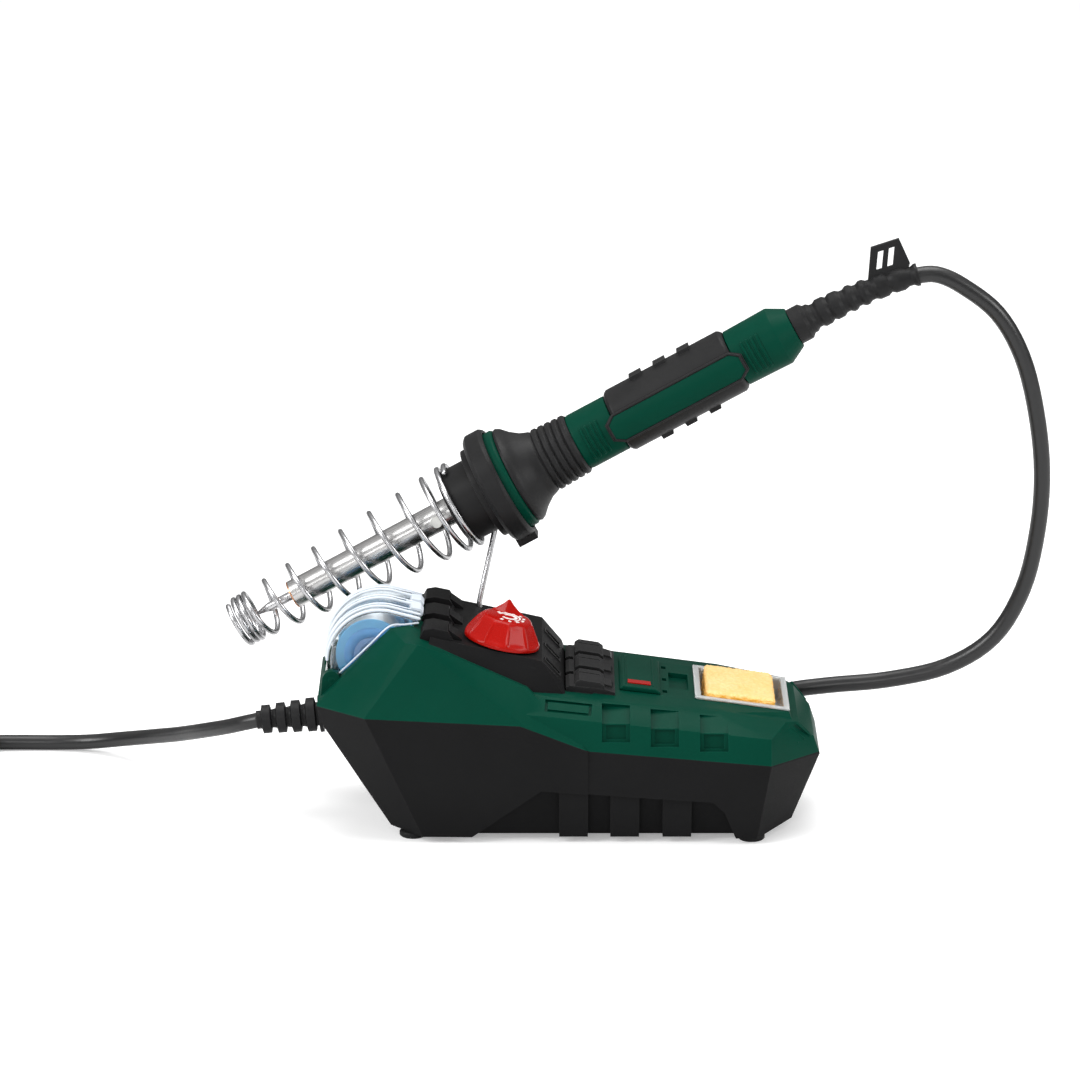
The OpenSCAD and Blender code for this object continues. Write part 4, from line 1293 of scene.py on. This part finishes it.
@dataclass
class Iron:
    """The iron's handle and barrel, with their moulded bands."""

    finishes: Finishes
    handle_r: float = 11.5
    front_bands: tuple[float, ...] = (43.2, 45.4, 47.6, 49.8)
    back_bands: tuple[float, ...] = (114.0, 116.2, 118.4, 120.6)
    reach: float = 34.0
    band_r: float = 0.5
    sleeve_r: float = 13.0
    sleeve_end: tuple[float, float] = (58.2, 106.8)
    sleeve: tuple[tuple[float, float], ...] = (
        (10.25, 56.5), (11.6, 56.5), (12.4, 57.2), (13.0, 58.2), (13.0, 106.8), (12.4, 107.8),
        (11.6, 108.5), (10.25, 108.5),
    )
    lug_z: tuple[float, ...] = (71.5, 82.0, 92.5)
    window_half: tuple[tuple[float, float], ...] = (
        (53.6, 2.6), (57.2, 5.1), (59.4, 5.1), (105.6, 5.1), (107.8, 5.1), (111.4, 2.6),
    )

    def build(self) -> None:
        """Dresses the carried pieces and adds the bands, the sleeve and its fields."""
        f = self.finishes
        dress_carried(
            ("guard_ring handle_front handle_back", f.green, 0.4),
            ("finger_guard", f.grip, 0),
            ("barrel", f.barrel, 0.2),
            ("tip_collar", f.copper, 0),
            ("iron_tip", f.tip, 0.1),
            ("barrel_screw", f.zinc, 0.15),
            ("heater", f.ceramic, 0),
            ("lead_relief", f.rubber, 0.25),
        )
        soften_edges(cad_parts["finger_guard"], 0.5, 3)
        dress(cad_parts["terminal_block"], f.ceramic, f.copper)
        self.bands()
        self.grip()
        LOG.info("iron: %d bands", len(self.front_bands) + len(self.back_bands))

    def bands(self) -> None:
        """Short fine ridges across the green ends of the handle, front and back."""
        parts = []
        axis = ON_IRON.to_3x3() @ Vector((0, 0, 1))
        for z in self.front_bands + self.back_bands:
            flare = 0.4 * (z - 109) / 18.6 if z > 109 else 0
            for middle in (-90, 90):
                start, end = middle - self.reach, middle + self.reach
                line = arc_line(self.handle_r + 0.2 + flare, z, start, end, ON_IRON)
                parts.append(tube("band", line, self.band_r * MM, 10, axis, True))
        piece = join("handle_bands", parts)
        piece.data.materials.append(self.finishes.green)
        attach(piece, Body.IRON.value)

    def grip(self) -> None:
        """The soft sleeve with its lugs, and a long green field in a raised frame on each side."""
        dark = [lathe("sleeve", list(self.sleeve), ON_IRON, 96)]
        for side in (-1, 1):
            for z in self.lug_z:
                low, high = sorted((side * 11.9, side * 14.0))
                outline = [(low, z - 2.6), (high, z - 2.3), (high, z + 2.3), (low, z + 2.6)]
                dark.append(prism("lug", outline, -3.6, 3.6, ON_IRON))
            dark.append(self.window("frame", side, 0.95, 12.85))
        sleeve = join("grip_sleeve", dark)
        soften_edges(sleeve, 0.35, 2, 35)
        sleeve.data.materials.append(self.finishes.grip)
        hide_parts("handle_grip")
        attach(sleeve, Body.IRON.value)
        fields = join("grip_fields", [self.window("field", side, 0.0, 13.25) for side in (-1, 1)])
        soften_edges(fields, 0.2, 2, 35)
        fields.data.materials.append(self.finishes.green)
        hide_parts("handle_plates")
        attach(fields, Body.IRON.value)
        rim = join("grip_edges", [self.rim(side) for side in (-1, 1)])
        rim.data.materials.append(self.finishes.grip)
        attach(rim, Body.IRON.value)

    def rim(self, side: int) -> bpy.types.Object:
        """A round rim along the edge of one field; side is -1 for the front, 1 for the back."""
        steps = 6
        loop = [(half + 0.6, z) for z, half in self.window_half]
        loop += [(-half, z) for half, z in reversed(loop)]
        loop.append(loop[0])
        line = []
        for (x, z), (next_x, next_z) in zip(loop, loop[1:]):
            for k in range(steps):
                share = k / steps
                at_x, at_z = x + (next_x - x) * share, z + (next_z - z) * share
                line.append(self.on_sleeve(side, at_x, at_z, self.sleeve_r + 0.15))
        line.append(line[0].copy())
        return tube("edge", line, 0.55 * MM, 8, ON_IRON.to_3x3() @ Vector((0, side, 0)))

    def on_sleeve(self, side: int, x: float, z: float, out: float) -> Vector:
        """A point on a cylinder round the iron's axis.

        Args:
            side: -1 for the front and 1 for the back.
            x: how far off the middle plane it is, in millimetres.
            z: its place along the axis.
            out: the cylinder's radius.

        Returns:
            The point, in metres.
        """
        a = math.asin(x / self.sleeve_r)
        return ON_IRON @ (Vector((out * math.sin(a), side * out * math.cos(a), z)) * MM)

    def window(self, name: str, side: int, grow: float, out: float) -> bpy.types.Object:
        """A long curved plate with cut corners, lying on the sleeve and the handle.

        Args:
            name: the piece's name.
            side: -1 for the front and 1 for the back.
            grow: how much wider and longer than the field it is, in millimetres.
            out: the radius of its outer face.

        Returns:
            The plate.
        """
        first, last = self.sleeve_end
        steps = 10
        shares = [2 * k / steps - 1 for k in range(steps + 1)]
        rings = []
        for z, half in self.window_half:
            along = z + math.copysign(grow, z - (first + last) / 2)
            wide = half + grow
            low = self.sleeve_r - 0.2 if first <= along <= last else self.handle_r - 0.15
            ring = [self.on_sleeve(side, wide * share, along, out) for share in shares]
            ring += [self.on_sleeve(side, -wide * share, along, low) for share in shares]
            rings.append(ring)
        return loft(name, rings)


# ---------------------------------------------------------------- knob


@dataclass
class Knob:
    """The red knob: a faceted skirt, a pointer at the back of its top and a printed scale."""

    finishes: Finishes
    facets: int = 10
    outside: tuple[tuple[float, float, float], ...] = (
        (0.0, 10.3, 0.0), (5.0, 10.25, 0.0), (8.2, 10.1, 0.0), (9.3, 9.7, 0.0), (10.0, 9.0, 0.25),
        (10.6, 8.2, 0.8), (11.6, 6.6, 1.0), (12.7, 4.8, 1.0), (13.6, 3.2, 1.0), (14.2, 2.2, 0.6),
        (14.6, 1.6, 0.15), (14.7, 1.0, 0.0), (14.7, 0.1, 0.0), (14.5, 0.0, 0.0),
    )
    inside: tuple[tuple[float, float, float], ...] = (
        (12.4, 0.0, 0.0), (12.4, 2.6, 0.0), (3.05, 2.6, 0.0), (3.05, 6.4, 0.0), (0.0, 6.4, 0.0),
    )
    pointer_sections: tuple[tuple[float, float, float], ...] = (
        (-6.4, 0.1, 0.6), (-5.0, 1.0, 1.3), (-2.6, 3.2, 2.2), (-1.0, 5.2, 2.6),
        (-0.2, 5.2, 2.6), (1.4, 3.6, 2.3), (3.6, 1.9, 1.8), (5.4, 0.9, 1.2), (6.6, 0.1, 0.6),
    )
    ticks: int = 9

    def build(self) -> None:
        """Makes the knob and its print."""
        place = ON_PANEL @ Matrix.Translation((0, 0, 0.6 * MM))
        profile = self.outside + self.inside
        width = 2 * math.pi / self.facets

        def shape(i: int, angle: float) -> float:
            """The facet's factor on the radius at this angle."""
            depth = profile[i][2]
            off = (angle + 0.2) % width - width / 2
            flat = math.cos(width / 2) / math.cos(off)
            ridge = 0.036 * math.exp(-(((abs(off) - width / 2) / 0.034) ** 2))
            return 1 + depth * (flat - 1 + ridge)

        body = lathe("knob_body", [(r, z) for r, z, _ in profile], place, 240, False, shape)
        piece = join("red_knob", [body, self.pointer(place)])
        piece.data.polygons.foreach_set("use_smooth", [True] * len(piece.data.polygons))
        soften_edges(piece, 0.22, 2, 34)
        piece.data.materials.append(self.finishes.red)
        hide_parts("knob")
        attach(piece, Body.KNOB.value)
        self.print_scale(place)
        LOG.info("knob: %d facets", self.facets)

    def pointer(self, place: Matrix) -> bpy.types.Object:
        """The sharp pointer, in sections along its own length.

        Args:
            place: the knob's own axes.

        Returns:
            The pointer.
        """
        turn = Matrix.Rotation(math.radians(-14), 4, "Z")
        at = place @ Matrix.Translation(vec(0.4, 5.4, 9.9)) @ turn
        rings = []
        for x, high, wide in self.pointer_sections:
            ring = (
                (-wide, -0.8), (-wide * 0.85, 0.1), (-0.3, high),
                (0.3, high), (wide * 0.85, 0.1), (wide, -0.8),
            )
            rings.append([at @ (Vector((x, y, z)) * MM) for y, z in ring])
        return loft("pointer", rings)

    def print_scale(self, place: Matrix) -> None:
        """The white scale: an open ring, a band that widens and a row of ticks.

        Args:
            place: the knob's own axes.
        """
        at = place @ Matrix.Translation(vec(0.8, -1.7, 10.28))
        parts = [
            flat_arc("ring", 2.1, 3.2, 3.2, -150, 130, at),
            flat_arc("band", 3.9, 4.3, 5.0, -60, 150, at),
        ]
        for i in range(self.ticks):
            middle = -120 + 32 * i
            parts.append(flat_arc("tick", 5.2, 6.2, 6.2, middle - 5.5, middle + 5.5, at, 3))
        piece = join("knob_scale", parts)
        piece.data.materials.append(self.finishes.white_print)
        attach(piece, Body.KNOB.value)


def flat_arc(
    name: str,
    inner: float,
    start_r: float,
    end_r: float,
    start: float,
    end: float,
    place: Matrix,
    steps: int = 36,
) -> bpy.types.Object:
    """A thin flat arc whose outer radius may grow along it.

    Args:
        name: the piece's name.
        inner: its inner radius, in millimetres.
        start_r: its outer radius where it starts.
        end_r: its outer radius where it ends.
        start: the angle where it starts, in degrees.
        end: the angle where it ends.
        place: where the local axes stand in the frame.
        steps: how many pieces it has.

    Returns:
        The new object.
    """
    thick = 0.12
    points, faces = [], []
    for i in range(steps + 1):
        a = math.radians(start + (end - start) * i / steps)
        outer = start_r + (end_r - start_r) * i / steps
        for r, z in ((inner, -0.3), (outer, -0.3), (outer, thick), (inner, thick)):
            points.append(place @ (Vector((r * math.cos(a), r * math.sin(a), z)) * MM))
    for i in range(steps):
        for j in range(4):
            k = (j + 1) % 4
            faces.append((i * 4 + j, i * 4 + k, i * 4 + 4 + k, i * 4 + 4 + j))
    faces.append((0, 3, 2, 1))
    faces.append(tuple(steps * 4 + j for j in range(4)))
    piece = mesh_object(name, points, faces, soft=False)
    clean(piece)
    return piece


# ---------------------------------------------------------------- solder compartment


@dataclass
class SolderBay:
    """The clear lid with its milky ribs and its rim lines of painted highlight, and the reel with
    its faces and its wound solder.
    """

    finishes: Finishes
    lid_mid: tuple[float, float] = (-72.6, 66.6)
    lid_r: float = 20.4
    lid_y: tuple[float, float] = (-19.1, 16.1)
    ridge_y: tuple[float, ...] = (-13.4, -1.5, 10.4)
    tip: tuple[float, float] = (-57.7, 83.6)
    lower_edge: tuple[tuple[float, float], ...] = (
        (-57.9, 81.8), (-63, 81.2), (-68.8, 80.5), (-76, 73.6), (-83, 66.8), (-89.4, 60.7),
    )
    lobe: tuple[tuple[float, float], ...] = (
        (-61.5, 84.4), (-60.6, 86.2), (-57.0, 85.6), (-55.9, 84.0), (-56.4, 82.6), (-58.0, 82.2),
    )

    def build(self) -> None:
        """Dresses the bay and makes its details."""
        f = self.finishes
        dress_carried(
            ("lid", f.clear_lid, 0.3),
            ("reel_cradle solder_reel", f.blue, 0.3),
            ("reel_axle", f.zinc, 0.15),
            ("lid_pin", f.green, 0.15),
        )
        self.ribs()
        self.faces()
        self.windings()
        LOG.info("solder bay: %d double ridges", len(self.ridge_y))

    def over_lid(self, y: float, lift: float, start: float = 178, end: float = 78) -> list[Vector]:
        """A line over the lid's back, from near its hinge to its tip.

        Args:
            y: its place along the reel's axis, in millimetres.
            lift: how far it lies over the lid.
            start: the angle where it starts, in degrees.
            end: the angle where it goes on straight to the tip.

        Returns:
            The points.
        """
        line = []
        for i in range(33):
            a = math.radians(start + (end - start) * i / 32)
            r = self.lid_r + lift
            x, z = self.lid_mid
            line.append(vec(x + r * math.cos(a), y, z + r * math.sin(a)))
        line.append(vec(self.tip[0] - 4, y, self.tip[1] + lift + 1.2))
        line.append(vec(self.tip[0] + 0.2, y, self.tip[1] + lift))
        return line

    def ribs(self) -> None:
        """The milky double ridges and finger lobes of the lid, and its edge and lower rim lines,
        whose milky white is a painted highlight.
        """
        parts = []
        side = Vector((0, 1, 0))
        for middle in self.ridge_y:
            for step in (-1.5, 1.5):
                over = self.over_lid(middle + step, 0.35)
                parts.append(tube("ridge", over, 0.62 * MM, 10, side, True))
        # Painted highlight: the edge and lower rim lines are milky white where the clear lid's rims
        # catch the light.
        for y in self.lid_y:
            parts.append(tube("edge", self.over_lid(y, -0.1), 0.6 * MM, 10, side, True))
            line = smooth_line([vec(x, y, z) for x, z in self.lower_edge], 4)
            parts.append(tube("lower", line, 0.42 * MM, 8, side, True))
        for y in (-8.6, 3.8):
            parts.append(prism("lobe", list(self.lobe), y - 3.8, y + 3.8))
        piece = join("lid_ribs", parts)
        soften_edges(piece, 0.35, 2, 40)
        piece.data.materials.append(self.finishes.lid_ribs_and_rim_highlight)
        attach(piece, Body.LID.value)

    def faces(self) -> None:
        """Stepped rings on the reel's two faces, the inner one a plain hub ring."""
        rings = []
        for side in (-1, 1):
            low, high = 14.5 * side, 14.9 * side
            outer = [(10.4, low), (10.4, high), (6.6, high), (6.6, low)]
            inner = [(6.5, low), (6.5, 15.1 * side), (2.7, 15.1 * side), (2.7, low)]
            mid = lathe("mid", outer, ON_REEL)
            mid.data.materials.append(self.finishes.mid_blue)
            hub = lathe("hub", inner, ON_REEL)
            hub.data.materials.append(self.finishes.hub_blue)
            rings += [mid, hub]
        piece = join("reel_faces", rings)
        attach(piece, Body.REEL.value)

    def windings(self) -> None:
        """The solder, in one layer of turns over the full width of the hub."""
        wire, half = 1.0, 13.0
        count = int(2 * half / wire)
        profile = [(6.3, half), (6.3, -half)]
        for i in range(count):
            z = -half + wire * (i + 0.5)
            for k in range(7):
                a = math.pi * (k / 6 - 0.5)
                profile.append((10.7 + 0.5 * wire * math.cos(a), z + 0.48 * wire * math.sin(a)))
        piece = lathe("solder_turns", profile, ON_REEL, 64)
        piece.data.materials.append(self.finishes.solder)
        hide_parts("solder_wire")
        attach(piece, Body.REEL.value)


# ---------------------------------------------------------------- sponge


@dataclass
class Sponge:
    """The tray and the cellulose sponge in it."""

    finishes: Finishes
    low: tuple[float, float, float] = (-14.0, -19.2, -7.5)
    high: tuple[float, float, float] = (12.8, 19.2, 3.0)
    cuts: int = 44
    rounding: float = 1.5

    def build(self) -> None:
        """Dresses the tray and makes the sponge."""
        dress_carried(("sponge_tray", self.finishes.tray, 0.4))
        work = bmesh.new()
        bmesh.ops.create_cube(work, size=2.0)
        bmesh.ops.subdivide_edges(work, edges=work.edges, cuts=self.cuts, use_grid_fill=True)
        low, high = Vector(self.low), Vector(self.high)
        middle, half = (low + high) / 2, (high - low) / 2
        core = half - Vector((self.rounding,) * 3)
        for vert in work.verts:
            spot = Vector(vert.co[i] * half[i] for i in range(3))
            near = Vector(max(-core[i], min(core[i], spot[i])) for i in range(3))
            out = spot - near
            if out.length > 0:
                direction = out.normalized()
                spot = near + direction * self.rounding
                spot += direction * self.roughen(spot)
                crown = 1 - (spot.x / half.x) ** 2 * 0.5 - (spot.y / half.y) ** 2 * 0.5
                spot.z += 0.35 * max(spot.z / half.z, 0) * crown
            vert.co = ON_TRAY @ ((middle + spot) * MM)
        bmesh.ops.recalc_face_normals(work, faces=work.faces)
        mesh = bpy.data.meshes.new("damp_sponge")
        work.to_mesh(mesh)
        work.free()
        mesh.polygons.foreach_set("use_smooth", [True] * len(mesh.polygons))
        piece = bpy.data.objects.new("damp_sponge", mesh)
        bpy.context.scene.collection.objects.link(piece)
        piece.data.materials.append(self.finishes.sponge)
        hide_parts("sponge")
        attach(piece, Body.SPONGE.value)
        LOG.info("sponge: %d points", len(mesh.vertices))

    def roughen(self, spot: Vector) -> float:
        """How far the surface stands out or in at a place, in millimetres."""
        coarse = noise.noise(spot * 0.55)
        fine = noise.noise(spot * 1.7 + Vector((9, 4, 2)))
        return 0.3 * coarse + 0.3 * fine


# ---------------------------------------------------------------- base


@dataclass
class Base:
    """The two housings with the control panel, the covers and all that is inside."""

    finishes: Finishes
    slot_bars: tuple[tuple[float, float, float, float], ...] = (
        (-4.2, 4.6, -6.2, -5.5), (-4.2, 4.6, -2.1, -1.4), (-4.2, -3.7, -5.5, -2.1),
        (4.1, 4.6, -5.5, -2.1),
    )

    def build(self) -> None:
        """Dresses the carried pieces and adds the small moulded details."""
        f = self.finishes
        dress_carried(
            ("upper_housing badge_plate", f.green, 0.5),
            ("lower_housing", f.black, 0.6),
            ("control_panel", f.black, 0.4),
            ("ribbed_cover", f.charcoal, 0.4),
            ("cord_clamp", f.black, 0.3),
            ("rubber_feet base_relief mains_relief mains_plug", f.rubber, 0.35),
            ("badge_bar", f.red, 0.1),
            ("housing_screws clamp_screws board_screws pot_nut pot_shaft", f.zinc, 0.15),
            ("pot_body heat_sink", f.aluminium, 0.2),
            ("circuit_board", f.board, 0.1),
            ("triac", f.black, 0.2),
            ("capacitor", f.amber, 0.4),
            ("plug_pins", f.nickel, 0.2),
        )
        dress(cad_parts["board_wires"], f.blue, f.amber, f.red)
        self.slot_frames()
        self.end_louvres()
        self.badge_lines()
        LOG.info("base: details made")

    def finish(self, piece: bpy.types.Object, material: Material, slot: str) -> None:
        """Gives a small part of the base its material and its body."""
        piece.data.materials.append(material)
        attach(piece, Body.BASE.value)

    def slot_frames(self) -> None:
        """A raised frame round each slanted slot at the panel's right end."""
        parts = []
        for y in (-20, 0, 20):
            at = Matrix.Translation(vec(-6.4, y, 66)) @ Matrix.Rotation(math.radians(48), 4, "Y")
            for x0, x1, y0, y1 in self.slot_bars:
                outline = [(x0, -0.7), (x1, -0.7), (x1, 0.2), (x0, 0.2)]
                parts.append(prism("bar", outline, y0, y1, at))
        piece = join("slot_frames", parts)
        soften_edges(piece, 0.18, 2, 40)
        self.finish(piece, self.finishes.charcoal, "dark_plastic")

    def end_louvres(self) -> None:
        """Three slanted ribs on each front corner of the right end."""
        parts = []
        for side in (-1, 1):
            for i in range(3):
                start = Vector((87.6 - 2.4 * i, side * (28.4 + 1.9 * i), 44.1 - 1.3 * i))
                end = Vector((92.6 - 2.6 * i, side * (24.2 + 3.4 * i), 38.6 - 0.5 * i))
                line = [(start + (end - start) * k / 6) * MM for k in range(7)]
                parts.append(tube("rib", line, 0.55 * MM, 8, Vector((0, side, 1)), True))
        self.finish(join("end_louvres", parts), self.finishes.green, "green_plastic")

    def badge_lines(self) -> None:
        """Two fine ridges across the badge plate."""
        parts = []
        for x, z in ((21.9, 57.6), (32.3, 56.3)):
            line = [vec(x, y, z) for y in range(-19, 20, 2)]
            parts.append(tube("line", line, 0.28 * MM, 8, Vector((1, 0, 0)), True))
        self.finish(join("badge_lines", parts), self.finishes.green, "green_plastic")


# ---------------------------------------------------------------- main


def main() -> None:
    """Builds the station piece by piece."""
    logging.basicConfig(level=logging.INFO, format="%(name)s: %(message)s")
    finishes = Finishes()
    Studio().build()
    Cords(finishes).build()
    Holder(finishes).build()
    Base(finishes).build()
    SolderBay(finishes).build()
    Sponge(finishes).build()
    Knob(finishes).build()
    Iron(finishes).build()


if __name__ == "__main__":
    main()
